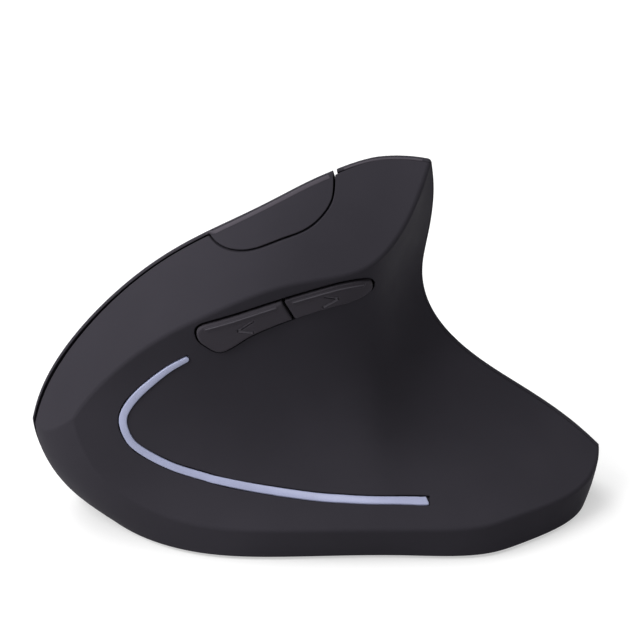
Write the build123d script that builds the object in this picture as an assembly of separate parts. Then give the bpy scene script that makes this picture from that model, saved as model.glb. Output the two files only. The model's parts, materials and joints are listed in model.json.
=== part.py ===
from build123d import *
from math import tan, radians, sin, cos
import os

# Right-handed vertical computer mouse, millimetres
# X: thumb side (-) to finger side (+), Y: rear (-) to nose (+), Z: up, desk at z = 0

# Driving dimensions
WALL = 2.2            # moulded shells, measured across the mouse
SKIN = 1.6            # finger side skin and its lip along the ridge
SEAM = 0.15           # joint between two fixed shells
RELIEF = 0.65         # more joint behind the lip of the left button
GAP = 0.45            # joint around a moving button
REAR_GAP = 0.8        # joint at the rear end of the main buttons
SKIRT_Z = 0.8         # skirt above the desk
FILLET = 0.9          # rounding of the creases
STRIP_DEPTH = 1.4     # accent strip, depth into the shell
PROUD = 0.8           # thumb buttons above the wall around them
FIT = 0.05            # radial clearance of pins and screws
FLOOR = 2.4           # base plate thickness
BOARD = 1.6           # circuit boards
WHEEL_R, WHEEL_W = 11.5, 7.0      # scroll wheel over its tyre
WHEEL_SINK = 7.7      # wheel axle below the surface of the centre strip
AXLE_R = 1.2
CELL_R, CELL_L = 5.25, 44.5       # AAA cells
SCREW_R, SCREW_L = 1.0, 7.0


# Finger side: sections at heights, nose to rear, (x, y)
PALM = {
    -2: [(-40, 70), (-5, 59), (17, 46), (31.0, 4), (26.5, -32), (12, -54), (-30, -84)],
    6:  [(-40, 73), (-5, 60), (17, 46.5), (32.0, 4), (27.5, -31), (13, -53), (-30, -84)],
    13: [(-40, 75), (-5, 60.6), (16.5, 46.8), (31.2, 5), (26.8, -29.5), (12.5, -50), (-30, -81)],
    20: [(-40, 76), (-5, 61), (15, 46.5), (29.6, 5), (24.8, -26), (13, -42.5), (-30, -70)],
    32: [(-40, 74), (-5, 57.8), (11, 43), (26.0, 5), (21.5, -18), (12, -28.5), (-30, -50)],
    47: [(-40, 66), (-3.5, 46.2), (8, 34), (20.0, 3), (18.0, -12), (12, -21.5), (-26, -46)],
    60: [(-40, 54), (-1.8, 29.2), (6, 18), (14.0, -2), (13.2, -15), (10, -24), (-20, -52)],
    70: [(-36, 38), (0.6, 8), (5, 1), (9.8, -9), (10.2, -17), (8, -25), (-16, -54)],
    80: [(-36, 26), (-2, 2), (2, -5), (5.5, -12), (6.0, -18), (5, -25), (-16, -54)],
}

# Thumb hollow and foot flange: sections along the mouse, bottom to top, (x, z)
HOLLOW = {
    -68: [(-40, -4), (-18, 3), (4, 7), (16, 12), (24, 22), (28, 36), (29, 50), (29, 84)],
    -57: [(-42, -4), (-9, 7.5), (5, 13.5), (13, 20), (19, 30), (23, 40), (25, 52), (25, 84)],
    -45: [(-46, -4), (-20.5, 8), (-3, 14), (8, 21), (14, 30), (17.5, 40), (18, 52), (16, 84)],
    -33: [(-50, -4), (-29.3, 8), (-11, 14), (3, 22), (11, 32), (15.5, 42), (18, 54), (22, 84)],
    -21: [(-52, -4), (-31.5, 8), (-17, 14.5), (-2, 24), (7.5, 36), (10.5, 47), (6, 60), (2, 84)],
    -11: [(-52, -4), (-31.8, 8), (-21, 15), (-10.5, 26), (-5.5, 37), (-6, 48), (-11.5, 60), (-22, 84)],
    4:   [(-52, -4), (-31.8, 8), (-22.5, 15), (-15.5, 26), (-13.2, 38), (-14, 48), (-16.5, 58), (-23, 84)],
    20:  [(-48, -4), (-29.6, 8), (-22.8, 16), (-18, 27), (-16.8, 38), (-17.8, 48), (-20, 58), (-26, 84)],
    36:  [(-42, -4), (-26, 8), (-22, 17), (-19.8, 28), (-19.2, 38), (-20, 48), (-21.5, 58), (-27, 84)],
    50:  [(-36, -4), (-23, 8), (-20.6, 18), (-19, 28), (-18.6, 38), (-19.8, 48), (-22, 58), (-28, 84)],
    68:  [(-32, -4), (-22, 8), (-20, 18), (-19.5, 28), (-19.5, 38), (-21, 48), (-23, 58), (-29, 84)],
}

# Upper panel: at each station the ridge x and z, and the fall to the thumb side in degrees
PANEL = {
    70: (-5.5, 3.8, 62), 62: (-5.2, 21.8, 56), 56: (-4.0, 36.0, 48), 49: (-2.5, 45.3, 40),
    40: (-1.2, 53.0, 33), 28: (0.2, 61.9, 33.5), 12: (2.2, 71.4, 38.7), -4: (4, 74.9, 43.5),
    -14: (5.3, 75.6, 45.5), -24: (6, 76.2, 45), -34: (6.5, 74.5, 44),
}

# Plan outlines: skirt edge, flange crease, widest line of the nose
FOOT = [(0, 52), (-9, 47.2), (-20.6, 38), (-28, 25), (-29.6, 6), (-29, -17), (-27.6, -36), (-23.5, -42.2),
        (-10, -54.8), (2, -56.8), (15, -49), (26, -30), (29.5, 0), (24, 28), (12, 46)]
FLANGE = [(-3, 57.5), (-13, 53), (-24, 38), (-30.6, 18), (-31.9, 1), (-31.4, -20), (-29, -35), (-25.2, -40.6),
          (-8, -57), (4, -59.5), (17, -50), (28.5, -30), (32, 0), (26, 28), (12, 51)]
NOSE = [(-5, 61.4), (-14, 57), (-24, 42), (-31, 22), (-34, 1), (-33, -20), (-30, -35), (-26, -41.4),
        (-8, -58), (5, -60.5), (18, -51), (30, -30), (34, 0), (28, 30), (12, 54)]


def section(points, place, far):
    """A spline through the points, closed by straight lines out to `far`."""
    curve = Spline(*[place(a, b) for a, b in points])
    (a0, b0), (a1, b1) = points[0], points[-1]
    back = Polyline(place(a1, b1), place(far, b1), place(far, b0), place(a0, b0))
    return Wire(curve.edges() + back.edges())


def palm_side(shift=0.0, relief=0.0):
    """Everything to the thumb side of the finger side surface, `relief` further in towards the nose."""
    def moved(a, b):
        growth = min(1, max(0, (b + 10) / 15)) + min(1.7, max(0, (b - 40) / 12))
        return a - shift - relief * growth
    return Solid.make_loft([
        section(p, lambda a, b, z=z: Vector(moved(a, b), b, z), -60) for z, p in PALM.items()])


def hollow_side(shift=0.0):
    """Everything to the finger side of the thumb hollow."""
    return Solid.make_loft([
        section(p, lambda a, b, y=y: Vector(a + shift, y, b), 60) for y, p in HOLLOW.items()])


def above_panel(drop=0.0, crown=0.5):
    """Everything above the upper panel."""
    wires = []
    for y, (x, z, fall) in PANEL.items():
        def at(px, lift):
            return Vector(px, y, z - tan(radians(fall)) * (x - px) - drop + lift)
        hi, mid, lo = at(x + 14, -2.6 * crown), at(x - 10, crown), at(-36, -3.5 * crown)
        curve = Spline(hi, mid, lo)
        back = Polyline(lo, Vector(-36, y, 120), Vector(x + 14, y, 120), hi)
        wires.append(Wire(curve.edges() + back.edges()))
    return Solid.make_loft(wires)


def plan_loop(points, z, inset=0.0):
    """A closed spline at height z, drawn in towards the middle by `inset`."""
    loop = []
    for x, y in points:
        length = (x * x + y * y) ** 0.5
        loop.append(Vector(x - inset * x / 33, y - inset * y / 59, z) if length else Vector(x, y, z))
    return Wire([Spline(*loop, periodic=True).edges()[0]])


def plan_side(inset=0.0, floor=SKIRT_Z):
    """The plan outline: undercut skirt, flange and nose."""
    low = Solid.make_loft([plan_loop(FOOT, floor, inset), plan_loop(FLANGE, 8.3, inset),
                           plan_loop(NOSE, 19, inset), plan_loop(NOSE, 30, inset)])
    return low + extrude(Face(plan_loop(NOSE, 30, inset)), amount=60, dir=(0, 0, 1))


def nearest_edges(shape, points):
    return [min(shape.edges(), key=lambda e: e.distance_to(Vector(*p))) for p in points]


def normals(points, closed=False):
    """Unit normals, left of the way of travel, along a chain of (y, z) points."""
    found, n = [], len(points)
    for i in range(n):
        before = points[(i - 1) % n] if closed or i else points[i]
        after = points[(i + 1) % n] if closed or i < n - 1 else points[i]
        dy, dz = after[0] - before[0], after[1] - before[1]
        length = (dy * dy + dz * dz) ** 0.5
        found.append((-dz / length, dy / length))
    return found


def side_prism(face_edges, x0=-60, x1=60):
    """A prism along X from a closed outline drawn in the YZ plane at x = x0."""
    return extrude(Face(Wire(face_edges)), amount=x1 - x0, dir=(1, 0, 0))


def side_region(points, closing, x0=-60, x1=60):
    """A prism along X: spline through (y, z) points closed by straight lines."""
    curve = Spline(*[Vector(x0, y, z) for y, z in points])
    back = Polyline(*[Vector(x0, y, z) for y, z in [points[-1]] + closing + [points[0]]])
    return side_prism(curve.edges() + back.edges(), x0, x1)


def side_loop(points, x0=-60, x1=60):
    """A prism along X inside a closed spline through (y, z) points."""
    return side_prism([Spline(*[Vector(x0, y, z) for y, z in points], periodic=True).edges()[0]], x0, x1)


def side_ribbon(points, width, x0=-60, x1=60):
    """A prism along X with the outline of a ribbon along (y, z) points; a third value adds to the width."""
    half = [(width + (p[2] if len(p) > 2 else 0)) / 2 for p in points]
    across = normals(points)
    left = [Vector(x0, p[0] + h * n[0], p[1] + h * n[1]) for p, h, n in zip(points, half, across)]
    right = [Vector(x0, p[0] - h * n[0], p[1] - h * n[1]) for p, h, n in zip(points, half, across)]
    edges = [Spline(*left).edge(), Line(left[-1], right[-1]).edge(),
             Spline(*right[::-1]).edge(), Line(right[0], left[0]).edge()]
    return side_prism(edges, x0, x1)


def side_bar(start, end, width, x0=-60, x1=60):
    """A prism along X with the outline of a straight bar between two (y, z) points."""
    ny, nz = normals([start, end])[0]
    corners = [(y + s * ny, z + s * nz) for (y, z), s in
               ((start, width / 2), (end, width / 2), (end, -width / 2), (start, -width / 2))]
    return side_prism(Polyline(*[Vector(x0, y, z) for y, z in corners + corners[:1]]).edges(), x0, x1)


def grown(points, by):
    """A closed (y, z) outline, drawn anticlockwise, grown outwards."""
    return [(y - by * n[0], z - by * n[1]) for (y, z), n in zip(points, normals(points, closed=True))]


def block(x0, x1, y0, y1, z0, z1):
    return Box(x1 - x0, y1 - y0, z1 - z0).moved(Location(((x0 + x1) / 2, (y0 + y1) / 2, (z0 + z1) / 2)))


def rod(radius, x, y, z0, z1):
    return Cylinder(radius, z1 - z0).moved(Location((x, y, (z0 + z1) / 2)))


def rod_x(radius, x0, x1, y, z):
    return Cylinder(radius, x1 - x0).moved(Location(((x0 + x1) / 2, y, z), (0, 90, 0)))


def rod_y(radius, x, y0, y1, z):
    return Cylinder(radius, y1 - y0).moved(Location((x, (y0 + y1) / 2, z), (90, 0, 0)))


def nearest(solids, point):
    return min(solids, key=lambda s: s.distance_to(Vector(*point)))


parts = {}

# Outer body, and the same body hollowed out
CREASES = [(-0.9, 24, 63), (-16.5, 9.5, 55.2), (10.7, -26.9, 35.3), (-31.7, -7.4, 8.1), (-14.7, 56.8, 22.4)]
hollow_wall = hollow_side(WALL)
raw = (((plan_side() & palm_side()) & hollow_side()) - above_panel()).solids()[0]
cavity = (plan_side(WALL, floor=-2) & hollow_wall) - above_panel(WALL + 0.4)
body = raw.fillet(FILLET, nearest_edges(raw, CREASES))
casing = (raw - cavity).solids()[0]
casing = casing.fillet(FILLET, nearest_edges(casing, CREASES))

# Finger side skin, cut into buttons, centre strip and rear cover, (y, z) lines
LINE_LEFT = [(54.9, 15.8), (50.5, 28), (43.5, 37.6), (34, 46.3), (22, 54.6), (8, 60), (-7, 63)]
LINE_RIGHT = [(47, 15.8), (44.6, 20.5), (39.8, 29.4), (30.6, 37.5), (18.8, 45.8), (5.2, 52), (-9.4, 55.3)]
LINE_LOWER = [(68, 17), (56, 16.5), (46, 16), (38, 18.5), (30.5, 24), (20, 31.5), (9, 37.5), (-2, 42),
              (-12.3, 45)]
LINE_REAR = [(-2.2, 82), (-3.0, 73), (-6.0, 63), (-8.6, 54.5), (-12, 44.8)]
skin = body - palm_side(SKIN)
for line, width in ((LINE_LEFT, GAP), (LINE_RIGHT, GAP), (LINE_LOWER, GAP), (LINE_REAR, REAR_GAP)):
    skin = skin - side_ribbon(line, width)
skin = [s for s in skin.solids() if s.volume > 20]

left_skin = nearest(skin, (5.1, 37.9, 48))
strip_skin = nearest(skin, (11, 34.6, 39.8))
right_skin = nearest(skin, (18, 32.1, 32))
cover_skin = nearest(skin, (29, 0, 20))

# Left button: its skin, and the flap folded over the ridge onto the upper panel
FLAP = [(24.9, 65.5), (22.7, 62.3), (17.6, 61.5), (14.0, 62.15), (8.4, 64.0), (2.8, 65.8), (-0.1, 67.7),
        (-1.9, 69.9), (-2.35, 72.2), (-2.35, 80)]
FLAP_CORNER = [(24.9, 80)]
flap = casing & side_region(FLAP, FLAP_CORNER)
left_button = left_skin + flap.solids()[0]

# Thumb side shell
casing = casing & palm_side(SKIN + SEAM, RELIEF)
thumb_shell = casing - side_region(FLAP, FLAP_CORNER) - side_ribbon(FLAP, 2 * GAP)
thumb_shell = max(thumb_shell.solids(), key=lambda s: s.volume)

# Accent strip let into the thumb side: (y, z, width) along its middle, upper end to rear end
STRIP = [(27.5, 41.3, 1.3), (31.7, 39.0, 1.5), (35.8, 35.8, 1.7), (38.9, 32.8, 1.8), (41.0, 29.7, 1.8),
         (41.5, 27.2, 1.8), (40.7, 24.4, 1.75), (39.1, 22.2, 1.7), (35.5, 19.9, 1.7), (30.7, 17.8, 1.6),
         (24.8, 16.2, 1.55), (21.5, 15.3, 1.5), (12.9, 13.9, 1.4), (2.3, 12.6, 1.25), (-5.7, 12.1, 1.15),
         (-13.7, 11.7, 1.05), (-22.6, 11.0, 0.9)]
strip_back = hollow_side(STRIP_DEPTH)
accent_strip = (side_ribbon(STRIP, 0, -36, -8) & hollow_side(-0.08)) - strip_back
thumb_shell = thumb_shell - (side_ribbon(STRIP, 0.2, -36, -8) - hollow_side(STRIP_DEPTH + 0.1))

# Thumb buttons: outline of the recess, anticlockwise with the nose to the right, (y, z)
RECESS = [(26.2, 46.4), (25.9, 48.6), (22.9, 49.9), (16.6, 51.5), (8.7, 53.7), (0.9, 55.6), (-6.5, 56.6),
          (-10.4, 55.2), (-10.9, 52.8), (-8.6, 51.2), (-3, 50.3), (4.1, 48.8), (11.6, 46.4), (15.7, 44.5),
          (19.4, 42.3), (21.3, 41.9), (24.2, 43.6)]
PARTING = (9.9, 57), (4.6, 46)    # straight gap between the two buttons, its ends
PARTING_W = 0.6
KEY_GAP, KEY_DROP = 0.50, 0.12    # gap around the buttons, and how far they sit below its middle
KEY_ROUND = 0.45
thumb_shell = thumb_shell - side_loop(RECESS, -36, -2)
keys = side_loop([(y, z - KEY_DROP) for y, z in grown(RECESS, -KEY_GAP)], -36, -6) & hollow_side(-PROUD)
keys = (keys - hollow_side(SKIN) - side_bar(*PARTING, PARTING_W, -36, -6)).solids()
ARROWS = {"forward_button": (15.5, 47.6, 1), "back_button": (-1.6, 52.0, -1)}   # y, z, pointing way
SIDE_X = -5.4         # board behind the thumb buttons, x of its thumb side face
TACT_FACE = -9.7      # switch tips of the thumb buttons, x
groove_floor = hollow_side(0.3 - PROUD)
for name, (y, z, way) in ARROWS.items():
    key = nearest(keys, (-15, y, z))
    key = key.fillet(KEY_ROUND, key.faces().sort_by(Axis.X)[0].edges())
    tip = (y + 1.9 * way, z - 0.5 * way)
    chevron = (side_bar(tip, (y - 1.5 * way, z + 1.6), 0.55, -36, -6)
               + side_bar(tip, (y - 1.5 * way, z - 1.2), 0.55, -36, -6))
    key = key - (chevron - groove_floor)
    plunger = rod_x(1.5, -16 if way > 0 else -12.8, TACT_FACE - 0.45, y + 0.5, z)
    parts[name] = max((key + plunger).solids(), key=lambda s: s.volume)
thumb_button_tray = side_loop(grown(RECESS, 1.2), -20, SIDE_X - 3.8) & hollow_side(WALL + 0.12)
thumb_button_tray = thumb_button_tray - hollow_side(WALL + 1.3)
for name, (y, z, way) in ARROWS.items():
    thumb_button_tray = thumb_button_tray - rod_x(2.0, -20, -4, y + 0.5, z)
thumb_button_tray = max((thumb_button_tray & cavity).solids(), key=lambda s: s.volume)

# Wheel frame: U along the centre strip towards the nose, V towards the ridge, N out of the surface
WHEEL_AT = Vector(12, 35, 40)
WHEEL = Plane(origin=WHEEL_AT, x_dir=(-0.075, 0.740, -0.668), z_dir=(0.74, 0.49, 0.46))
BOARD_TOP = -13.0
SWITCH_TOP = -6.5


def placed(shape):
    """Moves a piece drawn in the wheel frame to its place in the mouse."""
    return shape.moved(WHEEL.location)


def pin(radius, u, v0, v1, n):
    return rod_y(radius, u, v0, v1, n)


# Scroll wheel, axle, tilting yoke
HUB_R, YOKE_IN, YOKE_T = 9.3, 4.1, 1.3
YOKE_OUT = YOKE_IN + YOKE_T
axle = pin(AXLE_R, 0, -10.5, YOKE_OUT + 0.6, -WHEEL_SINK)
hub = pin(HUB_R, 0, -3.2, 3.2, -WHEEL_SINK) + pin(2.6, 0, -3.8, 3.8, -WHEEL_SINK)
for k in range(6):
    hub = hub - pin(1.5, 5.8 * cos(radians(60 * k)), -4, 4, -WHEEL_SINK + 5.8 * sin(radians(60 * k)))
hub = hub - pin(AXLE_R, 0, -5, 5, -WHEEL_SINK)
tyre = pin(WHEEL_R, 0, -WHEEL_W / 2, WHEEL_W / 2, -WHEEL_SINK)
tyre = tyre.fillet(0.9, tyre.edges()) - pin(HUB_R, 0, -4, 4, -WHEEL_SINK)
RIBS = 28
for k in range(RIBS):
    turn, out = radians(360 / RIBS * k), WHEEL_R + 0.15
    tyre = tyre - pin(0.45, out * cos(turn), -2.3, 2.3, -WHEEL_SINK + out * sin(turn))

PIVOT_U, PIVOT_N = -16.5, -10.6
yoke = Part()
for side in (-1, 1):
    v0, v1 = sorted((side * YOKE_IN, side * YOKE_OUT))
    yoke += block(PIVOT_U - 2.2, 15.5, v0, v1, PIVOT_N - 2.0, PIVOT_N + 1.4)
    yoke += block(-3.2, 3.2, v0, v1, PIVOT_N, -WHEEL_SINK + 2.8)
yoke += block(12.9, 15.5, -YOKE_OUT, YOKE_OUT, PIVOT_N - 2.0, PIVOT_N + 1.4)
yoke += block(PIVOT_U - 2.2, PIVOT_U + 1.6, -YOKE_OUT, YOKE_OUT, PIVOT_N - 2.0, PIVOT_N + 1.4)
yoke = yoke - pin(AXLE_R + FIT, 0, -9, 9, -WHEEL_SINK)
yoke = yoke - pin(1.0 + FIT, PIVOT_U, -9, 9, PIVOT_N)
yoke = yoke - block(10.8, 16, -9, 9, PIVOT_N - 2.1, PIVOT_N - 1.3)     # room to tilt over the board
yoke_pin = pin(1.0, PIVOT_U, -8.6, 8.6, PIVOT_N)

# Board behind the main buttons with what stands on it
SLOT_U0, SLOT_U1, SLOT_V = -12.6, 11.9, 5.9
button_board = block(-29.5, 21, -13.5, 13.5, BOARD_TOP - BOARD, BOARD_TOP) - block(-30, -6, 9.4, 14, -20, -5)
button_board = button_board - block(SLOT_U0, SLOT_U1, -SLOT_V, SLOT_V, -20, -5)
yoke_bracket = Part()
for side in (-1, 1):
    v0, v1 = sorted((side * (YOKE_OUT + 0.4), side * 8.6))
    yoke_bracket += block(PIVOT_U - 2.4, PIVOT_U + 2.4, v0, v1, BOARD_TOP, PIVOT_N + 1.8)
yoke_bracket += block(PIVOT_U - 2.4 - 1.4, PIVOT_U - 2.4, -8.6, 8.6, BOARD_TOP, PIVOT_N + 1.8)
yoke_bracket = yoke_bracket - pin(1.0, PIVOT_U, -9, 9, PIVOT_N)

SWITCH = dict(u0=7.2, u1=20.0, v0=7.9, v1=13.3)
PLUNGER_U, PLUNGER_V = SWITCH["u0"] + 4.5, (SWITCH["v0"] + SWITCH["v1"]) / 2
PLUNGER_H, PLUNGER_SINK = 0.7, 0.9        # plunger above and below the top of its switch
BUTTON_TRAVEL = 0.36
BUTTON_POST_GAP = 0.10


def micro_switch(side):
    """Micro switch under a main button, with a pocket for its plunger."""
    v0, v1 = sorted((side * SWITCH["v0"], side * SWITCH["v1"]))
    box = block(SWITCH["u0"], SWITCH["u1"], v0, v1, BOARD_TOP, SWITCH_TOP)
    box = box.fillet(0.4, box.edges().filter_by(Axis.Z))
    return box - plunger(side, 0.1, PLUNGER_SINK + BUTTON_TRAVEL + 0.15)


def plunger(side, room=0.0, sink=PLUNGER_SINK):
    u, v = PLUNGER_U, side * PLUNGER_V
    return block(u - 1.4 - room, u + 1.4 + room, v - 0.8 - room, v + 0.8 + room,
                 SWITCH_TOP - sink, SWITCH_TOP + PLUNGER_H)


def button_post(side, skin_piece):
    """Post under a main button that works its micro switch."""
    u, v = PLUNGER_U, side * PLUNGER_V
    post = placed(block(u - 1.6, u + 1.6, v - 1.3, v + 1.3, SWITCH_TOP + PLUNGER_H + BUTTON_POST_GAP, 4))
    return max((skin_piece + (post & body & palm_side(SKIN / 2))).solids(), key=lambda s: s.volume)


# Encoder on the axle, switch under the wheel's yoke, switch of the DPI button
encoder = block(-5.2, 5.2, -12.0, -7.2, BOARD_TOP, -WHEEL_SINK + 4.6)
encoder = encoder.fillet(0.5, encoder.edges().filter_by(Axis.Z)) - pin(AXLE_R + 0.6, 0, -13, -6, -WHEEL_SINK)
click_switch = block(12.6, 18.6, -3.1, 3.1, BOARD_TOP, BOARD_TOP + 1.6)
click_switch += rod(1.4, 14.4, 0, BOARD_TOP + 1.6, BOARD_TOP + 2.0)
yoke = yoke - block(12.0, 16.0, -3.4, 3.4, PIVOT_N - 2.1, PIVOT_N + 0.1)
yoke_nub = rod(1.0, 14.2, 0, BOARD_TOP + 2.0 + 0.55, PIVOT_N + 0.6)
yoke = (yoke + yoke_nub).solids()[0]
DPI_U, DPI_V = -24.8, -3.7
dpi_switch = block(DPI_U - 3, DPI_U + 3, DPI_V - 3, DPI_V + 3, BOARD_TOP, BOARD_TOP + 3.1)
dpi_switch += rod(1.7, DPI_U, DPI_V, BOARD_TOP + 3.1, BOARD_TOP + 3.9)

# Board screws go into posts that grow from the thumb side shell
POSTS = [(-24.5, -10.8), (17.5, 5.5)]
room = (hollow_side(WALL - 0.3) & plan_side(WALL - 0.3)) - above_panel(WALL)
for u, v in POSTS:
    back = BOARD_TOP - BOARD
    post = placed(rod(2.6, u, v, back - 34, back) - rod(SCREW_R, u, v, back - SCREW_L - 1, 0))
    thumb_shell = thumb_shell + (post & room)
    button_board = button_board - rod(SCREW_R + 0.2, u, v, -20, -5)


def screw(x, y, z_head, down=True, length=SCREW_L):
    """A pan head screw; z_head is the seat of its head."""
    way = -1 if down else 1
    head = rod(1.9, x, y, *sorted((z_head, z_head - way * 1.3)))
    head = head - block(x - 1.3, x + 1.3, y - 0.25, y + 0.25, *sorted((z_head - way * 0.7, z_head - way * 2)))
    head = head - block(x - 0.25, x + 0.25, y - 1.3, y + 1.3, *sorted((z_head - way * 0.7, z_head - way * 2)))
    return head + rod(SCREW_R - FIT / 2, x, y, *sorted((z_head, z_head + way * length)))


# DPI button in the centre strip
DPI = Plane(origin=(14.6, 12.2, 53.6), x_dir=(-0.25, 0.86, -0.44), z_dir=(0.80, 0.27, 0.53))
DPI_STEM_GAP = 0.85   # stem to the tilted tip of its switch, along the middle of the stem
dpi_reach = (DPI.origin - WHEEL.from_local_coords(Vector(DPI_U, DPI_V, BOARD_TOP + 3.9))).dot(DPI.z_dir)
dpi_hole = (extrude(DPI * SlotOverall(9.6, 4.6), amount=6, both=True))
dpi_button = extrude(DPI.offset(-2.6) * SlotOverall(9.0, 4.0), amount=3.5)
dpi_stem = Circle(1.2)
dpi_button += extrude(DPI.offset(-dpi_reach + DPI_STEM_GAP) * dpi_stem, amount=dpi_reach - DPI_STEM_GAP - 0.5)
dpi_button = dpi_button.fillet(0.5, dpi_button.edges().group_by(Axis(DPI.origin, DPI.z_dir))[-1])
wheel_slot = placed(extrude(RectangleRounded(2 * 10.9, WHEEL_W + 1.3, 1.6), amount=9, both=True))
strip_skin = max(((strip_skin - wheel_slot) - dpi_hole).solids(), key=lambda s: s.volume)

left_button = button_post(1, left_button)
right_skin = button_post(-1, right_skin)
in_wheel_frame = {
    "scroll_wheel": hub, "wheel_tyre": tyre, "wheel_axle": axle, "wheel_yoke": yoke, "yoke_pin": yoke_pin,
    "yoke_bracket": yoke_bracket, "button_board": button_board, "left_switch": micro_switch(1),
    "right_switch": micro_switch(-1), "left_plunger": plunger(1), "right_plunger": plunger(-1),
    "wheel_encoder": encoder, "wheel_click_switch": click_switch, "dpi_switch": dpi_switch,
    "board_screws": Compound([screw(u, v, BOARD_TOP) for u, v in POSTS]),
}
parts.update({name: placed(shape) for name, shape in in_wheel_frame.items()})

# Base plate, let into the skirt from below
PLATE_TOP = SKIRT_Z + FLOOR
plate_edge = Face(plan_loop(FOOT, SKIRT_Z, WALL + SEAM))
base_plate = extrude(plate_edge, amount=FLOOR, dir=(0, 0, 1))

# Battery bay: two cells side by side along Y, the tray stands on the plate, the door closes it from below
CELL_GAP, SPRING_ROOM, CONTACT_T = 0.4, 2.8, 0.4
BAY_X, BAY_Y = 6.5, -5.5                       # middle of the bay
bay_w = 4 * CELL_R + CELL_GAP + 0.6
bay_l = CELL_L + SPRING_ROOM + 2 * CONTACT_T + 0.1
TRAY_WALL = 1.2
DOOR_T, DOOR_LEDGE, DOOR_FIT = 1.4, 1.2, 0.15
cell_z = SKIRT_Z + DOOR_T + 0.25 + CELL_R
tray_top = cell_z + CELL_R + 0.5 + TRAY_WALL
bay_x0, bay_x1 = BAY_X - bay_w / 2, BAY_X + bay_w / 2
bay_y0, bay_y1 = BAY_Y - bay_l / 2, BAY_Y + bay_l / 2
battery_tray = block(bay_x0 - TRAY_WALL, bay_x1 + TRAY_WALL, bay_y0 - TRAY_WALL, bay_y1 + TRAY_WALL,
                     PLATE_TOP, tray_top)
battery_tray = battery_tray - block(bay_x0, bay_x1, bay_y0, bay_y1, 0, tray_top - TRAY_WALL)
base_plate = base_plate - block(bay_x0, bay_x1, bay_y0, bay_y1, 0, 10)
door_x0, door_x1 = bay_x0 - DOOR_LEDGE, bay_x1 + DOOR_LEDGE
door_y0, door_y1 = bay_y0 - DOOR_LEDGE, bay_y1 + DOOR_LEDGE
base_plate = base_plate - block(door_x0, door_x1, door_y0, door_y1, 0, SKIRT_Z + DOOR_T + 0.05)
battery_door = block(door_x0 + DOOR_FIT, door_x1 - DOOR_FIT, door_y0 + DOOR_FIT, door_y1 - DOOR_FIT,
                     SKIRT_Z, SKIRT_Z + DOOR_T)
battery_door = battery_door.fillet(1.0, battery_door.edges().filter_by(Axis.Z))
for k in range(5):
    grip_y = door_y1 - 5 - 1.6 * k
    battery_door = battery_door - block(BAY_X - 6, BAY_X + 6, grip_y, grip_y + 0.8, 0, SKIRT_Z + 0.4)

cell_x = [BAY_X - CELL_R - CELL_GAP / 2, BAY_X + CELL_R + CELL_GAP / 2]
cells, springs, contacts = [], [], []
for x, way in zip(cell_x, (1, -1)):
    flat = bay_y0 + CONTACT_T + SPRING_ROOM if way > 0 else bay_y1 - CONTACT_T - SPRING_ROOM
    tip = flat + way * CELL_L
    nub = 0.8
    can = rod_y(CELL_R, x, *sorted((flat, tip - way * nub)), cell_z)
    can = can.fillet(0.5, can.edges())
    cells.append(can + rod_y(1.9, x, *sorted((tip - way * nub - 0.2 * way, tip)), cell_z))
    wall_minus, wall_plus = (bay_y0, bay_y1) if way > 0 else (bay_y1, bay_y0)
    plate_y = sorted((wall_plus, wall_plus - way * CONTACT_T))
    contacts.append(block(x - 3.6, x + 3.6, *plate_y, cell_z - 3.6, cell_z + 3.6))
    coil = Helix(pitch=0.85, height=SPRING_ROOM - 0.5, radius=2.6)
    wire = sweep(Plane(origin=coil @ 0, z_dir=coil % 0) * Circle(0.25), path=coil)
    turned = Location((x, wall_minus + way * (CONTACT_T + 0.2), cell_z), (-90 * way, 0, 0))
    seat_y = sorted((wall_minus, wall_minus + way * CONTACT_T))
    seat = block(x - 3.6, x + 3.6, *seat_y, cell_z - 3.6, cell_z + 3.6)
    springs.append(wire.moved(turned) + seat)

# Receiver bay behind the battery bay, open downwards
RECEIVER_L, RECEIVER_W, RECEIVER_H = 18.6, 14.4, 5.2
RECEIVER_FIT, RECEIVER_WALL = 0.3, 1.1
cx, cy = 0.2, -41.6                            # middle of the receiver
receiver_z0 = SKIRT_Z + 0.2
receiver_top = receiver_z0 + RECEIVER_H + RECEIVER_FIT
rx0, rx1 = cx - RECEIVER_L / 2 - RECEIVER_FIT, cx + RECEIVER_L / 2 + RECEIVER_FIT
ry0, ry1 = cy - RECEIVER_W / 2 - RECEIVER_FIT, cy + RECEIVER_W / 2 + RECEIVER_FIT
receiver_bay = block(rx0 - RECEIVER_WALL, rx1 + RECEIVER_WALL, ry0 - RECEIVER_WALL, ry1 + RECEIVER_WALL,
                     PLATE_TOP, receiver_top + RECEIVER_WALL) - block(rx0, rx1, ry0, ry1, 0, receiver_top)
base_plate = base_plate - block(rx0, rx1, ry0, ry1, 0, 10)

# Receiver: a cap, a tin plug of standard size and the tongue inside it
CAP_L, PLUG_W, PLUG_H, PLUG_T = 6.2, 12.0, 4.5, 0.3
cap_x, tip_x = cx - RECEIVER_L / 2 + CAP_L, cx + RECEIVER_L / 2
plug_z = receiver_z0 + (RECEIVER_H - PLUG_H) / 2
plug_y0, plug_y1 = cy - PLUG_W / 2, cy + PLUG_W / 2
receiver_cap = block(cap_x - CAP_L, cap_x, cy - RECEIVER_W / 2, cy + RECEIVER_W / 2,
                     receiver_z0, receiver_z0 + RECEIVER_H)
receiver_cap = receiver_cap.fillet(0.8, receiver_cap.edges())
receiver_cap = receiver_cap - block(cap_x - 2, cap_x + 1, plug_y0, plug_y1, plug_z, plug_z + PLUG_H)
receiver_plug = block(cap_x - 2, tip_x, plug_y0, plug_y1, plug_z, plug_z + PLUG_H)
receiver_plug = receiver_plug - block(cap_x - 1.6, 30, plug_y0 + PLUG_T, plug_y1 - PLUG_T,
                                      plug_z + PLUG_T, plug_z + PLUG_H - PLUG_T)
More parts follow.
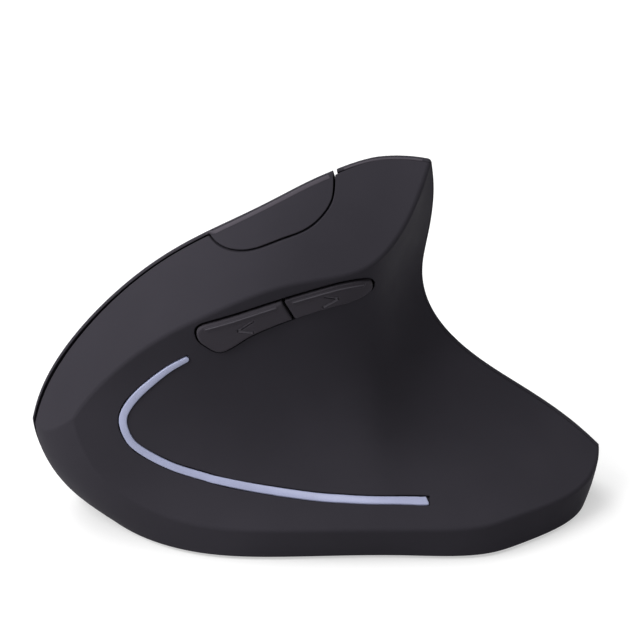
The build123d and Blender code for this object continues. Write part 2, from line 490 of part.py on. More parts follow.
for dy in (-3.2, 3.2):
    receiver_plug = receiver_plug - block(cap_x + 5.5, cap_x + 7.7, cy + dy - 1, cy + dy + 1, 0, 12)
receiver_tongue = block(cap_x - 1.5, tip_x - 0.4, cy - 5.6, cy + 5.6, receiver_z0 + 0.7, receiver_z0 + 2.4)

# Glide feet, set into shallow pockets: middle x, y, length, width, turn
FEET = [("front_foot", -1, 41.6, 16, 4.0, 0), ("rear_foot", -1, -51.4, 12, 2.4, 0),
        ("side_feet", -21.5, -14, 18, 3.6, 90), ("side_feet", 23.6, -8, 18, 3.6, 90)]
feet = {}
for name, x, y, length, width, turn in FEET:
    place = Location((x, y, 0), (0, 0, turn))
    foot = extrude(SlotOverall(length, width), amount=SKIRT_Z + 0.4)
    foot = foot.fillet(0.3, foot.edges().group_by(Axis.Z)[0])
    pocket = extrude(SlotOverall(length + 0.3, width + 0.3), amount=SKIRT_Z + 0.4)
    feet.setdefault(name, []).append(foot.moved(place))
    base_plate = base_plate - pocket.moved(place)

# Sensor window, lens, main board
SENSOR = (0.5, 31.0)
board_z = PLATE_TOP + 3.8
sx, sy = SENSOR
base_plate = base_plate - block(sx - 4.5, sx + 4.5, sy - 3.5, sy + 3.5, 0, 10)
lens = block(sx - 8, sx + 8, sy - 5.5, sy + 5.5, PLATE_TOP, PLATE_TOP + 1.2)
lens = lens + rod(3.1, sx, sy, PLATE_TOP - 1.6, PLATE_TOP + 1.2)
lens = lens + rod(2.6, sx, sy, PLATE_TOP + 1.2, board_z - 0.1)
main_edge = [(-19.5, 3), (-19.5, 33), (-12, 42), (10.5, 42), (18, 33), (21.5, 23.5), (-7.2, 23.5), (-7.2, 3)]
main_board = extrude(make_face(Polyline(*[(x, y, board_z) for x, y in main_edge], close=True)), amount=BOARD)
main_board = main_board - rod(3.0, sx, sy, 0, 20)
board_up = board_z + BOARD
sensor_chip = block(sx - 4.6, sx + 4.6, sy - 4.4, sy + 4.4, board_up, board_up + 2.2)
sensor_light = rod_y(1.5, sx, sy + 5.6, sy + 9.6, board_up + 1.5)
sensor_light += block(sx - 1.8, sx + 1.8, sy + 8.4, sy + 9.6, board_up, board_up + 3.2)
control_chip = block(-13.5, -8.5, 26, 31, board_up, board_up + 0.9)
radio_shield = block(7.5, 15.5, 26.5, 34.0, board_up, board_up + 1.6)
crystal = block(-15.8, -8.8, 33.0, 36.4, board_up, board_up + 3.4)
crystal = crystal.fillet(1.4, crystal.edges().filter_by(Axis.Z))
capacitor = rod(2.5, -15.5, 20.0, board_up + 0.3, board_up + 6.0)
capacitor = capacitor.fillet(0.4, capacitor.edges()) + rod(2.1, -15.5, 20.0, board_up, board_up + 1.0)

# Board posts on the plate and their screws
BOARD_POSTS = [(-17, 8), (-16.4, 30), (8, 39.2), (18, 26)]
for x, y in BOARD_POSTS:
    base_plate = base_plate + rod(2.0, x, y, PLATE_TOP - 0.2, board_z)
    base_plate = base_plate - rod(SCREW_R, x, y, board_z - 3.6, board_z + 1)
    main_board = main_board - rod(SCREW_R + 0.2, x, y, 0, 20)

# Power switch on the underside of the board, with its knob in a slot of the plate
POWER = (-12.0, 9.5)
POWER_TRAVEL = 3.0
px, py = POWER
switch_body = block(px - 2.2, px + 2.2, py - 5, py + 5, board_z - 2.4, board_z)
switch_body = switch_body - block(px - 0.9, px + 0.9, py - 3.2, py + 3.2, board_z - 3, board_z - 1.2)
knob_y = py - POWER_TRAVEL / 2
power_knob = block(px - 1.6, px + 1.6, knob_y - 2, knob_y + 2, SKIRT_Z + 0.3, PLATE_TOP + 0.1)
power_knob += block(px - 2.6, px + 2.6, knob_y - 3.0, knob_y + 3.0, PLATE_TOP + 0.1, PLATE_TOP + 0.8)
power_knob += block(px - 0.7, px + 0.7, knob_y - 1.0, knob_y + 1.0, PLATE_TOP + 0.8, board_z - 1.5)
for k in range(3):
    grip_y = knob_y - 1.2 + 1.0 * k
    power_knob = power_knob - block(px - 2, px + 2, grip_y, grip_y + 0.4, 0, SKIRT_Z + 0.55)
slot_half = POWER_TRAVEL / 2 + 2.2
base_plate = base_plate - block(px - 1.8, px + 1.8, py - slot_half, py + slot_half, 0, 10)
base_plate = base_plate - block(px - 3.0, px + 3.0, py - 5.6, py + 5.6, 0, SKIRT_Z + 0.3)

# Screws through the plate into bosses of the thumb side shell and of the rear cover
SHELL_BOSSES = [(-23, 24), (-22, -29)]
COVER_BOSSES = [(22, 16), (21.5, -26)]
BOSS_R, SEAT_Z = 2.3, SKIRT_Z + 1.4
for x, y in SHELL_BOSSES + COVER_BOSSES:
    base_plate = base_plate - rod(2.2, x, y, 0, SEAT_Z) - rod(SCREW_R + 0.2, x, y, 0, 10)
for x, y in SHELL_BOSSES:
    boss = rod(BOSS_R, x, y, PLATE_TOP, 30) - rod(SCREW_R, x, y, 0, SEAT_Z + SCREW_L + 0.5)
    thumb_shell = thumb_shell + (boss & room)
cover_room = palm_side(SKIN / 2)
for x, y in COVER_BOSSES:
    boss = rod(BOSS_R, x, y, PLATE_TOP, 16) + block(x, 32, y - 0.7, y + 0.7, 11, 16)
    boss = (boss - rod(SCREW_R, x, y, 0, SEAT_Z + SCREW_L + 0.5)) & cover_room
    cover_skin = cover_skin + boss

# Side board with the switches of the thumb buttons
SIDE_BOARD = 1.2
side_edge = [(-7, 47), (-7, 56), (18.5, 52), (19.6, 45), (13, 39.8), (2, 42.5)]
side_face = make_face(Polyline(*[(SIDE_X, y, z) for y, z in side_edge], close=True))
side_board = extrude(side_face, amount=SIDE_BOARD, dir=(1, 0, 0))
SIDE_POSTS = [(2.5, 45.0), (13.5, 41.8)]
for y, z in SIDE_POSTS:
    post = rod_x(1.7, -30, SIDE_X, y, z) - rod_x(SCREW_R - 0.2, SIDE_X - 4.6, 0, y, z)
    thumb_shell = thumb_shell + (post & room)
    side_board = side_board - rod_x(SCREW_R, -10, 0, y, z)
side_top = SIDE_X + SIDE_BOARD
side_screws = Compound([rod_x(SCREW_R - 0.25, SIDE_X - 4.2, side_top, y, z)
                        + rod_x(1.6, side_top, side_top + 1.0, y, z) for y, z in SIDE_POSTS])
tacts = {}
for name, (y, z, way) in ARROWS.items():
    tacts[name] = block(SIDE_X - 3.5, SIDE_X, y - 2.5, y + 3.5, z - 3, z + 3)
    tacts[name] += rod_x(1.6, TACT_FACE, SIDE_X - 3.5, y + 0.5, z)

# Ribbon cable from the main board up to the button board
main_connector = block(-8, -5, 26, 34, board_up, board_up + 3.6)
button_connector = placed(block(-4, 4, 8.5, 11.5, BOARD_TOP - BOARD - 3, BOARD_TOP - BOARD))
ribbon_line = [(-6.5, board_up + 3.65), (-6.5, 22), (-7.0, 30), (-7.4, 35.1)]
ribbon = [Vector(x, 27.0, z) for x, z in ribbon_line]
ribbon_face = Face(Wire(Spline(*ribbon).edges() + Line(ribbon[-1], ribbon[-1] + Vector(0.6, 0, 0)).edges()
                        + Spline(*[p + Vector(0.6, 0, 0) for p in ribbon[::-1]]).edges()
                        + Line(ribbon[0] + Vector(0.6, 0, 0), ribbon[0]).edges()))
ribbon_cable = extrude(ribbon_face, amount=5.0, dir=(0, 1, 0))

# Every other sub-part by name
parts.update({
    "thumb_shell": thumb_shell, "rear_cover": cover_skin, "centre_strip": strip_skin,
    "left_button": left_button, "right_button": right_skin, "accent_strip": accent_strip,
    "dpi_button": dpi_button, "thumb_button_tray": thumb_button_tray, "base_plate": base_plate,
    "battery_door": battery_door, "battery_tray": battery_tray, "battery_1": cells[0], "battery_2": cells[1],
    "battery_spring_1": springs[0], "battery_spring_2": springs[1], "battery_contacts": Compound(contacts),
    "receiver_bay": receiver_bay, "receiver_cap": receiver_cap, "receiver_plug": receiver_plug,
    "receiver_tongue": receiver_tongue, "sensor_lens": lens, "sensor_chip": sensor_chip,
    "sensor_light": sensor_light, "main_board": main_board, "control_chip": control_chip,
    "radio_shield": radio_shield, "crystal": crystal, "capacitor": capacitor, "power_switch": switch_body,
    "power_knob": power_knob, "side_board": side_board, "forward_switch": tacts["forward_button"],
    "back_switch": tacts["back_button"], "side_screws": side_screws, "main_connector": main_connector,
    "button_connector": button_connector, "ribbon_cable": ribbon_cable,
    "main_board_screws": Compound([screw(x, y, board_up, length=4.8) for x, y in BOARD_POSTS]),
    "base_screws": Compound([screw(x, y, SEAT_Z, down=False) for x, y in SHELL_BOSSES + COVER_BOSSES]),
    **{name: Compound(pieces) if len(pieces) > 1 else pieces[0] for name, pieces in feet.items()},
})

# The origin is the middle of the box in plan
CENTRE = Location((-0.26, -0.76, 0))
os.makedirs("parts", exist_ok=True)
for name, shape in parts.items():
    export_step(shape.moved(CENTRE), f"parts/{name}.step")
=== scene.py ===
# %% [markdown]
# # A vertical computer mouse
# The packed solids already have the true shape and size of every piece. This lesson gives them their
# finishes, adds the fine pieces that solids leave plain, and lights them as in a studio. Everything
# is in metres, with +Z up, +Y to the nose, -X to the thumb side and +X to the main buttons.

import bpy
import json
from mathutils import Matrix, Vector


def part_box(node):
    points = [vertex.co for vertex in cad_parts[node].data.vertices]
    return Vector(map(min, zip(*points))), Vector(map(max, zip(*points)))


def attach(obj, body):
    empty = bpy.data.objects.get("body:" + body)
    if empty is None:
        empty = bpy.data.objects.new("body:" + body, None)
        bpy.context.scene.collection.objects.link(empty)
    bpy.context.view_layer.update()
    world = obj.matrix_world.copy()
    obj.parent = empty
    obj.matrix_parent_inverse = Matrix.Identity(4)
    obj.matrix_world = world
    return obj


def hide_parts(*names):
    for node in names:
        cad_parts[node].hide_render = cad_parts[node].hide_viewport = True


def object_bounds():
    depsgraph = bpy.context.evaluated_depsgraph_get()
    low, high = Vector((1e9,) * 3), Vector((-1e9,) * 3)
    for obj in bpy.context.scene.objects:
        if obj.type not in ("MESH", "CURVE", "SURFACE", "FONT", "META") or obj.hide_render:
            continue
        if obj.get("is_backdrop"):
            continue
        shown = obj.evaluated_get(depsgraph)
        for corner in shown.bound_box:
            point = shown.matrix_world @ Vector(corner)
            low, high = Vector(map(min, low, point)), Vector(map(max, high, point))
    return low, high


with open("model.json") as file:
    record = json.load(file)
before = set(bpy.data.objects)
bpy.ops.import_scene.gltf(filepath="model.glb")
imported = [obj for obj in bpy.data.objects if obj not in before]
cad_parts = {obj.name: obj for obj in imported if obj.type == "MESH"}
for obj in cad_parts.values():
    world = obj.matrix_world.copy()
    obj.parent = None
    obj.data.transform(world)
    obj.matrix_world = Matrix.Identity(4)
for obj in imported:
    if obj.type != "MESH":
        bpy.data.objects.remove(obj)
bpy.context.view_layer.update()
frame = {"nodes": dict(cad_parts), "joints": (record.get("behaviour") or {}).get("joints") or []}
nodes = frame["nodes"]

# %% Modules and the unit
import json
import math

import bmesh
import bpy
from mathutils import Matrix, Vector
from mathutils.bvhtree import BVHTree

MM = 0.001               # small sizes are written in millimetres and multiplied by this
scene = bpy.context.scene

# %% [markdown]
# ## Camera and stage
# The photograph looks straight at the thumb side from a little above, through a long lens, so the
# outline is almost free of perspective. A camera can be turned until the picture looks right. Here
# its bearing, height and distance are numbers instead, so the two outlines can be compared.

# %% Camera
AZIMUTH, ELEVATION = math.radians(270), math.radians(24)
CAMERA_DISTANCE = 0.700
CAMERA_TARGET = Vector((-0.00026, -0.00036, 0.0417))
FOCAL_IN_PIXELS, FRAME_PIXELS = 3304, 640
SENSOR_WIDTH = 36.0

back = Vector((math.sin(AZIMUTH) * math.cos(ELEVATION), -math.cos(AZIMUTH) * math.cos(ELEVATION),
               math.sin(ELEVATION)))
camera = bpy.data.objects.new("camera", bpy.data.cameras.new("camera"))
scene.collection.objects.link(camera)
camera.data.sensor_width = SENSOR_WIDTH
camera.data.lens = FOCAL_IN_PIXELS / FRAME_PIXELS * SENSOR_WIDTH
camera.data.clip_start = 0.01
camera.location = CAMERA_TARGET + back * CAMERA_DISTANCE
camera.rotation_euler = (-back).to_track_quat("-Z", "Y").to_euler()
scene.camera = camera
print("camera at", [round(v, 3) for v in camera.location], "lens", round(camera.data.lens, 1))


# %% [markdown]
# The background is white because its colour is white, not because more light falls on it. One bright
# sky would do both, but it would also wash the black casing out. So the camera sees a plain white,
# also through glass and mirrored in metal, and all other rays see a weaker sky that lights evenly.

# %% Rays that may see the white background
def math_node(tree, operation, *values):
    """A Math node with its inputs set to numbers or linked to sockets."""
    made = tree.nodes.new("ShaderNodeMath")
    made.operation = operation
    for socket, value in zip(made.inputs, values):
        if isinstance(value, (int, float)):
            socket.default_value = value
        else:
            tree.links.new(value, socket)
    return made.outputs[0]


def showing_rays(tree):
    """A value that is 1 for camera rays, also after they pass through glass or leave a mirror."""
    path = tree.nodes.new("ShaderNodeLightPath").outputs
    seen_or_mirrored = math_node(tree, "MAXIMUM", path["Is Camera Ray"], path["Is Glossy Ray"])
    return math_node(tree, "MAXIMUM", seen_or_mirrored, path["Is Transmission Ray"])


print("showing rays: camera, glossy and transmission")


# %% World
SKY_LIGHT, SKY_SEEN = 0.29, 1.0
WHITE = (1, 1, 1, 1)

scene.view_settings.view_transform = "Standard"
world = bpy.data.worlds.new("studio")
scene.world = world
world.use_nodes = True
sky = world.node_tree
sky.nodes.clear()
light, seen = sky.nodes.new("ShaderNodeBackground"), sky.nodes.new("ShaderNodeBackground")
for shade, value in ((light, SKY_LIGHT), (seen, SKY_SEEN)):
    shade.inputs["Color"].default_value = WHITE
    shade.inputs["Strength"].default_value = value
choose, out = sky.nodes.new("ShaderNodeMixShader"), sky.nodes.new("ShaderNodeOutputWorld")
sky.links.new(showing_rays(sky), choose.inputs["Fac"])
sky.links.new(light.outputs[0], choose.inputs[1])
sky.links.new(seen.outputs[0], choose.inputs[2])
sky.links.new(choose.outputs[0], out.inputs["Surface"])
print("world: light", SKY_LIGHT, "seen", SKY_SEEN)

# %% [markdown]
# The mouse stands on white paper. A shadow catcher would give a cleaner white, but this floor keeps
# the soft shadow with plain shaders: a grey that the lamps light, plus a glow that only the showing
# rays see. From below, and for the light of a lamp under it, the paper is not there.

# %% Floor
FLOOR_HALF = 3.0
FLOOR_GREY, FLOOR_GLOW = 0.58, 0.50

corners = [(x * FLOOR_HALF, y * FLOOR_HALF, 0) for x, y in ((-1, -1), (1, -1), (1, 1), (-1, 1))]
floor_mesh = bpy.data.meshes.new("floor")
floor_mesh.from_pydata(corners, [], [(0, 1, 2, 3)])
floor = bpy.data.objects.new("floor", floor_mesh)
scene.collection.objects.link(floor)
paper = bpy.data.materials.new("white_paper")
paper.use_nodes = True
tree = paper.node_tree
tree.nodes.clear()
matt, glow = tree.nodes.new("ShaderNodeBsdfDiffuse"), tree.nodes.new("ShaderNodeEmission")
matt.inputs["Color"].default_value = (FLOOR_GREY, FLOOR_GREY, FLOOR_GREY, 1)
glow.inputs["Color"].default_value = WHITE
tree.links.new(math_node(tree, "MULTIPLY", showing_rays(tree), FLOOR_GLOW), glow.inputs["Strength"])
above, none = tree.nodes.new("ShaderNodeAddShader"), tree.nodes.new("ShaderNodeBsdfTransparent")
tree.links.new(matt.outputs[0], above.inputs[0])
tree.links.new(glow.outputs[0], above.inputs[1])
from_below = tree.nodes.new("ShaderNodeNewGeometry").outputs["Backfacing"]
to_a_lamp = tree.nodes.new("ShaderNodeLightPath").outputs["Is Shadow Ray"]
sided, out = tree.nodes.new("ShaderNodeMixShader"), tree.nodes.new("ShaderNodeOutputMaterial")
tree.links.new(math_node(tree, "MAXIMUM", from_below, to_a_lamp), sided.inputs["Fac"])
tree.links.new(above.outputs[0], sided.inputs[1])
tree.links.new(none.outputs[0], sided.inputs[2])
tree.links.new(sided.outputs[0], out.inputs["Surface"])
floor_mesh.materials.append(paper)
floor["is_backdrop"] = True
print("floor", 2 * FLOOR_HALF, "m square")

# %% [markdown]
# Large soft lamps stand in for studio softboxes, since small ones would give hard spots on the matt
# casing. The big one hangs over the nose on the camera's side, so the sloping panel is the lightest
# face and the thumb hollow falls into shade. One behind the mouse draws its ridge, and a low one lifts
# the nose. The last one stands under the floor and shows the underside when it is looked at.

# %% Softboxes
SOFTBOXES = {            # place, width and height in metres, watts
    "softbox_nose": ((-0.42, 0.75, 0.75), 0.7, 0.7, 8.0),
    "softbox_top": ((-0.10, 0.25, 0.95), 0.8, 0.8, 4.0),
    "softbox_rim": ((0.75, 0.40, 0.60), 0.6, 0.6, 5.0),
    "softbox_low": ((-0.35, 0.90, 0.16), 0.5, 0.25, 1.0),
    "softbox_below": ((0.10, 0.15, -0.80), 0.8, 0.8, 1.4),
}
for name, (place, width, height, watts) in SOFTBOXES.items():
    lamp = bpy.data.lights.new(name, "AREA")
    lamp.shape = "RECTANGLE"
    lamp.size, lamp.size_y = width, height
    lamp.energy = watts
    box = bpy.data.objects.new(name, lamp)
    scene.collection.objects.link(box)
    box.location = place
    box.rotation_euler = (CAMERA_TARGET - Vector(place)).to_track_quat("-Z", "Y").to_euler()
print("softboxes:", list(SOFTBOXES))


# %% [markdown]
# ## Finishes
# A moulded plastic is never one flat colour: it has a fine grain from its mould, slow changes in
# tone, and edges that light catches because every real edge is a little round. Painted pictures could
# give all this, but they have a fixed size and need unwrapping. So every finish here is a small tree
# of nodes instead.

# %% Colours
def srgb(r, g, b):
    """A colour read from a screen, 0 to 255, as the linear values that a shader takes."""
    def linear(v):
        v /= 255
        return v / 12.92 if v <= 0.04045 else ((v + 0.055) / 1.055) ** 2.4
    return linear(r), linear(g), linear(b)


def scaled(colour, by):
    return tuple(c * by for c in colour)


print("a middle grey on the screen is", round(srgb(128, 128, 128)[0], 3), "in linear light")


# %% A material and its nodes
class NodeMaterial:
    """A material with an empty node tree round one shader, and short ways to fill it."""

    def __init__(self, name):
        self.material = bpy.data.materials.new(name)
        self.material.use_nodes = True
        self.tree = self.material.node_tree
        self.tree.nodes.clear()
        self.shader = self.node("ShaderNodeBsdfPrincipled")
        out = self.node("ShaderNodeOutputMaterial")
        self.link(self.shader.outputs[0], out.inputs["Surface"])
        self.place = self.node("ShaderNodeTexCoord").outputs["Object"]

    def node(self, kind, **values):
        made = self.tree.nodes.new(kind)
        for name, value in values.items():
            setattr(made, name, value)
        return made

    def link(self, a, b):
        self.tree.links.new(a, b)

    def math(self, operation, *values):
        return math_node(self.tree, operation, *values)

    def put(self, **sockets):
        """Sets or links inputs of the shader; underscores stand for spaces."""
        for name, value in sockets.items():
            socket = self.shader.inputs[name.replace("_", " ")]
            if isinstance(value, bpy.types.NodeSocket):
                self.link(value, socket)
            else:
                socket.default_value = value
        return self.material


print("a material starts as a shader and object coordinates")


# %% [markdown]
# Noise in the space of the object needs no unwrapping and is sharp at every distance. It shifts the
# tone and the roughness in patches and, through a bump, gives the grain. Edges could be rounded in the
# mesh, but the Bevel node rounds only the light on them, which costs no faces.

# %% Patches, tones, grain and round edges
class Finish(NodeMaterial):
    """The material of one stuff, with the helpers that every finish of this mouse uses."""

    def noise(self, size, detail=2.0, roughness=0.5):
        """Noise with blotches of about `size` metres."""
        made = self.node("ShaderNodeTexNoise")
        made.inputs["Scale"].default_value = 1 / size
        made.inputs["Detail"].default_value = detail
        made.inputs["Roughness"].default_value = roughness
        self.link(self.place, made.inputs["Vector"])
        return made.outputs["Fac"]

    def ramp(self, value, low, high, start=0.0, end=1.0):
        """A value from start..end mapped to low..high."""
        made = self.node("ShaderNodeMapRange")
        for name, number in (("From Min", start), ("From Max", end), ("To Min", low), ("To Max", high)):
            made.inputs[name].default_value = number
        self.link(value, made.inputs["Value"])
        return made.outputs["Result"]

    def patches(self, size, detail=2.0, start=0.3, end=0.7, roughness=0.5):
        """Noise stretched until it fills 0 to 1."""
        return self.ramp(self.noise(size, detail, roughness), 0.0, 1.0, start, end)

    def mix(self, factor, a, b):
        """Mixes two colours, given as (r, g, b) or as sockets."""
        made = self.node("ShaderNodeMix", data_type="RGBA")
        self.link(factor, made.inputs["Factor"])
        for socket, value in ((made.inputs[6], a), (made.inputs[7], b)):
            if isinstance(value, tuple):
                socket.default_value = (*value, 1)
            else:
                self.link(value, socket)
        return made.outputs[2]

    def toned(self, where, colour, at_none, at_full):
        """A colour times at_none where the value is 0, and times at_full where it is 1."""
        return self.mix(where, scaled(colour, at_none), scaled(colour, at_full))

    def shaded(self, colour, by):
        """A colour socket made darker or lighter by a value around 1."""
        made = self.node("ShaderNodeVectorMath", operation="SCALE")
        self.link(colour, made.inputs[0])
        self.link(by, made.inputs["Scale"])
        return made.outputs["Vector"]

    def rounded(self, radius):
        """The normal that sharp edges would have if they were round."""
        made = self.node("ShaderNodeBevel", samples=6)
        made.inputs["Radius"].default_value = radius
        return made.outputs["Normal"]

    def bump(self, height, depth, normal=None):
        made = self.node("ShaderNodeBump")
        made.inputs["Strength"].default_value = 1.0
        made.inputs["Distance"].default_value = depth
        self.link(height, made.inputs["Height"])
        if normal is not None:
            self.link(normal, made.inputs["Normal"])
        return made.outputs["Normal"]


print("helpers of a finish:", [name for name in vars(Finish) if not name.startswith("_")])


# %% [markdown]
# The casing has a soft-touch coat: matt, smooth, a trace warmer than neutral black, with next to no
# sheen. In use it turns slightly glossier in soft patches, and its edges wear a little lighter. The
# angle between the true normal and the rounded one finds those edges, so no mask has to be painted.

# %% Soft-touch casing
COAT_EDGE_RADIUS, COAT_RUB, COAT_SHEEN = 0.30 * MM, 0.05, 0.02


def coated_plastic(name, colour, rough, edge=1.35, grain=0.28 * MM, depth=0.006 * MM,
                   radius=COAT_EDGE_RADIUS):
    """`edge` is how much lighter the coat wears on edges; grain and depth are its texture's."""
    f = Finish(name)
    soft = f.rounded(radius)
    facing = f.node("ShaderNodeVectorMath", operation="DOT_PRODUCT")
    f.link(soft, facing.inputs[0])
    f.link(f.node("ShaderNodeNewGeometry").outputs["Normal"], facing.inputs[1])
    on_edges = f.ramp(facing.outputs["Value"], 1.0, 0.0, 0.80, 0.985)
    edge_wear_and_highlight = f.math("MULTIPLY", on_edges, f.ramp(f.noise(2.5 * MM, 3), 0.25, 1.0, 0.35, 0.65))
    body = f.toned(f.patches(22 * MM), colour, 0.94, 1.06)
    tone = f.mix(edge_wear_and_highlight, body, scaled(colour, edge))
    rub = f.ramp(f.noise(9 * MM, 3, 0.6), rough + COAT_RUB, rough - COAT_RUB, 0.35, 0.7)
    gloss = f.math("SUBTRACT", rub, f.math("MULTIPLY", edge_wear_and_highlight, 0.10))
    normal = f.bump(f.noise(grain, 2, 0.6), depth, soft)
    return f.put(Base_Color=tone, Roughness=gloss, Normal=normal, Specular_IOR_Level=COAT_SHEEN)


COAT_BLACK = srgb(53, 51, 57)
KEY_GRAIN = 0.22 * MM
shell_black = coated_plastic("soft_touch_black", COAT_BLACK, 0.62)
button_black = coated_plastic("soft_touch_buttons", COAT_BLACK, 0.60)
thumb_key_black = coated_plastic("thumb_key_black", srgb(64, 61, 67), 0.46, edge=1.6, grain=KEY_GRAIN,
                                 radius=0.55 * MM)
# A lighter coat that paints the highlight on the crests of the thumb buttons; the arrow wedges wear it too.
thumb_key_painted_highlight = coated_plastic("thumb_key_painted_highlight", srgb(88, 85, 92), 0.38, grain=KEY_GRAIN)
# A lighter coat that paints the highlight along the ridge.
ridge_highlight_paint = coated_plastic("ridge_painted_highlight", srgb(80, 76, 83), 0.50, edge=1.2)
base_black = coated_plastic("textured_base_black", srgb(44, 44, 46), 0.55, grain=0.45 * MM,
                            depth=0.02 * MM)
inner_black = coated_plastic("plain_inner_black", srgb(34, 34, 35), 0.45, depth=0.003 * MM)
print("materials so far:", len(bpy.data.materials))


# %% [markdown]
# The accent strip is plastic sprayed with a fine metallic lacquer. A real metal shader would turn
# dark wherever it mirrors something dark, so this is a pale plastic with flakes far smaller than a
# millimetre that sparkle slightly, under a thin clear coat that gives the long highlight.

# %% Metallic lacquer
FLAKE = 0.12 * MM


def lacquer(name, colour):
    f = Finish(name)
    flakes = f.node("ShaderNodeTexVoronoi")
    flakes.inputs["Scale"].default_value = 1 / FLAKE
    f.link(f.place, flakes.inputs["Vector"])
    glint = f.ramp(flakes.outputs["Distance"], 1.08, 0.92, 0.0, 0.8)
    body = f.toned(f.patches(6 * MM), colour, 0.95, 1.05)
    rough = f.ramp(f.noise(1.2 * MM), 0.30, 0.40)
    normal = f.bump(flakes.outputs["Distance"], 0.004 * MM, f.rounded(0.22 * MM))
    return f.put(Base_Color=f.shaded(body, glint), Metallic=0.05, Roughness=rough, Normal=normal,
                 Coat_Weight=0.3, Coat_Roughness=0.2)


strip_silver = lacquer("strip_lavender_silver", srgb(162, 167, 198))
print("strip finish:", strip_silver.name)


# %% [markdown]
# ## Small finishes
# Inside and underneath are rubber, steel, circuit board, glass-clear plastic and printed sleeves.
# One grey for all would do in the main view, but a battery door and a receiver that come out show
# them. So each gets a short tree of its own.

# %% Rubber, metal and clear plastic
def rubber(name, colour):
    f = Finish(name)
    dusty = f.toned(f.patches(0.8 * MM, 4, 0.45, 0.75, 0.65), colour, 1.0, 1.6)
    rough = f.ramp(f.noise(3 * MM), 0.70, 0.85)
    normal = f.bump(f.noise(0.18 * MM, 3), 0.015 * MM, f.rounded(0.15 * MM))
    return f.put(Base_Color=dusty, Roughness=rough, Normal=normal, Specular_IOR_Level=0.35)


def metal(name, colour, rough, grain=0.5 * MM):
    f = Finish(name)
    tarnished = f.toned(f.patches(2.0 * MM, 4, 0.4, 0.7), colour, 1.0, 0.82)
    gloss = f.ramp(f.noise(grain, 3), rough - 0.06, rough + 0.08)
    normal = f.bump(f.noise(grain / 3), 0.002 * MM, f.rounded(0.1 * MM))
    return f.put(Base_Color=tarnished, Metallic=1.0, Roughness=gloss, Normal=normal)


def clear(name, colour, transmission=1.0):
    f = Finish(name)
    haze = f.ramp(f.noise(1.5 * MM), 0.04, 0.08)
    tint = f.toned(f.noise(4 * MM), colour, 1.0, 0.93)
    normal = f.bump(f.noise(2.0 * MM, 1), 0.002 * MM)
    return f.put(Base_Color=tint, Roughness=haze, Normal=normal, Transmission_Weight=transmission, IOR=1.49)


tyre_rubber = rubber("wheel_rubber", srgb(30, 30, 31))
steel = metal("screw_steel", (0.56, 0.56, 0.58), 0.30)
nickel = metal("spring_nickel", (0.66, 0.63, 0.57), 0.26)
tin = metal("tin_plate", (0.64, 0.64, 0.63), 0.36, grain=1.2 * MM)
gold = metal("contact_gold", (0.83, 0.62, 0.27), 0.28)
lens_clear = clear("lens_clear", (0.90, 0.93, 0.95))
light_red = clear("lamp_red", (0.80, 0.05, 0.04), transmission=0.8)
print("materials so far:", len(bpy.data.materials))


# %% Plain mouldings and circuit board
def moulded(name, colour, rough, depth=0.006 * MM):
    f = Finish(name)
    tone = f.toned(f.patches(5 * MM, 3, 0.35, 0.7), colour, 0.92, 1.06)
    gloss = f.ramp(f.noise(2 * MM), rough - 0.05, rough + 0.06)
    normal = f.bump(f.noise(0.4 * MM), depth, f.rounded(0.12 * MM))
    return f.put(Base_Color=tone, Roughness=gloss, Normal=normal)


def solder_mask(name, colour):
    """Green lacquer over copper tracks, which show as slightly raised lighter lines."""
    f = Finish(name)
    tracks = f.node("ShaderNodeTexBrick", offset=0.37, squash=1.0)
    for socket, value in (("Scale", 1 / (9 * MM)), ("Mortar Size", 0.022), ("Mortar Smooth", 0.3)):
        tracks.inputs[socket].default_value = value
    f.link(f.place, tracks.inputs["Vector"])
    line = tracks.outputs["Fac"]
    weave = f.ramp(f.noise(0.6 * MM), 0.9, 1.1)
    rough = f.ramp(f.noise(3 * MM), 0.26, 0.36)
    return f.put(Base_Color=f.shaded(f.toned(line, colour, 1.0, 1.9), weave), Roughness=rough,
                 Normal=f.bump(line, 0.02 * MM), Coat_Weight=0.3)


board_green = solder_mask("solder_mask_green", (0.012, 0.085, 0.035))
chip_black = moulded("chip_black", (0.018, 0.018, 0.019), 0.55)
switch_black = moulded("switch_black", (0.022, 0.022, 0.024), 0.42)
nylon_white = moulded("nylon_white", (0.72, 0.71, 0.66), 0.40)
encoder_green = moulded("encoder_green", (0.03, 0.13, 0.08), 0.40)
foot_dark = moulded("glide_foot_dark", (0.045, 0.045, 0.047), 0.32, depth=0.003 * MM)
hub_grey = moulded("hub_grey", (0.05, 0.05, 0.055), 0.35)
receiver_black = moulded("receiver_black", (0.022, 0.022, 0.023), 0.38)
film_white = moulded("film_white", (0.62, 0.62, 0.58), 0.35)
capacitor_blue = moulded("capacitor_sleeve", (0.02, 0.03, 0.09), 0.30, depth=0.002 * MM)
print("materials so far:", len(bpy.data.materials))

# %% [markdown]
# A cell wears a glossy sleeve that folds over its rims, with the bare metal ends inside the fold. The
# ends could be meshes of their own. It is simpler to let the material find them: what is nearer to
# the axis of a cell than the fold is metal. Both axes come from the boxes of the two cells.

# %% Sleeves of the cells
CELL_END_R = 4.7 * MM
cell_boxes = [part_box(cell) for cell in ("battery_1", "battery_2")]
cell_centres = [(Vector(low) + Vector(high)) / 2 for low, high in cell_boxes]
between_cells = (cell_centres[0].x + cell_centres[1].x) / 2
cell_aside = (cell_centres[1].x - cell_centres[0].x) / 2


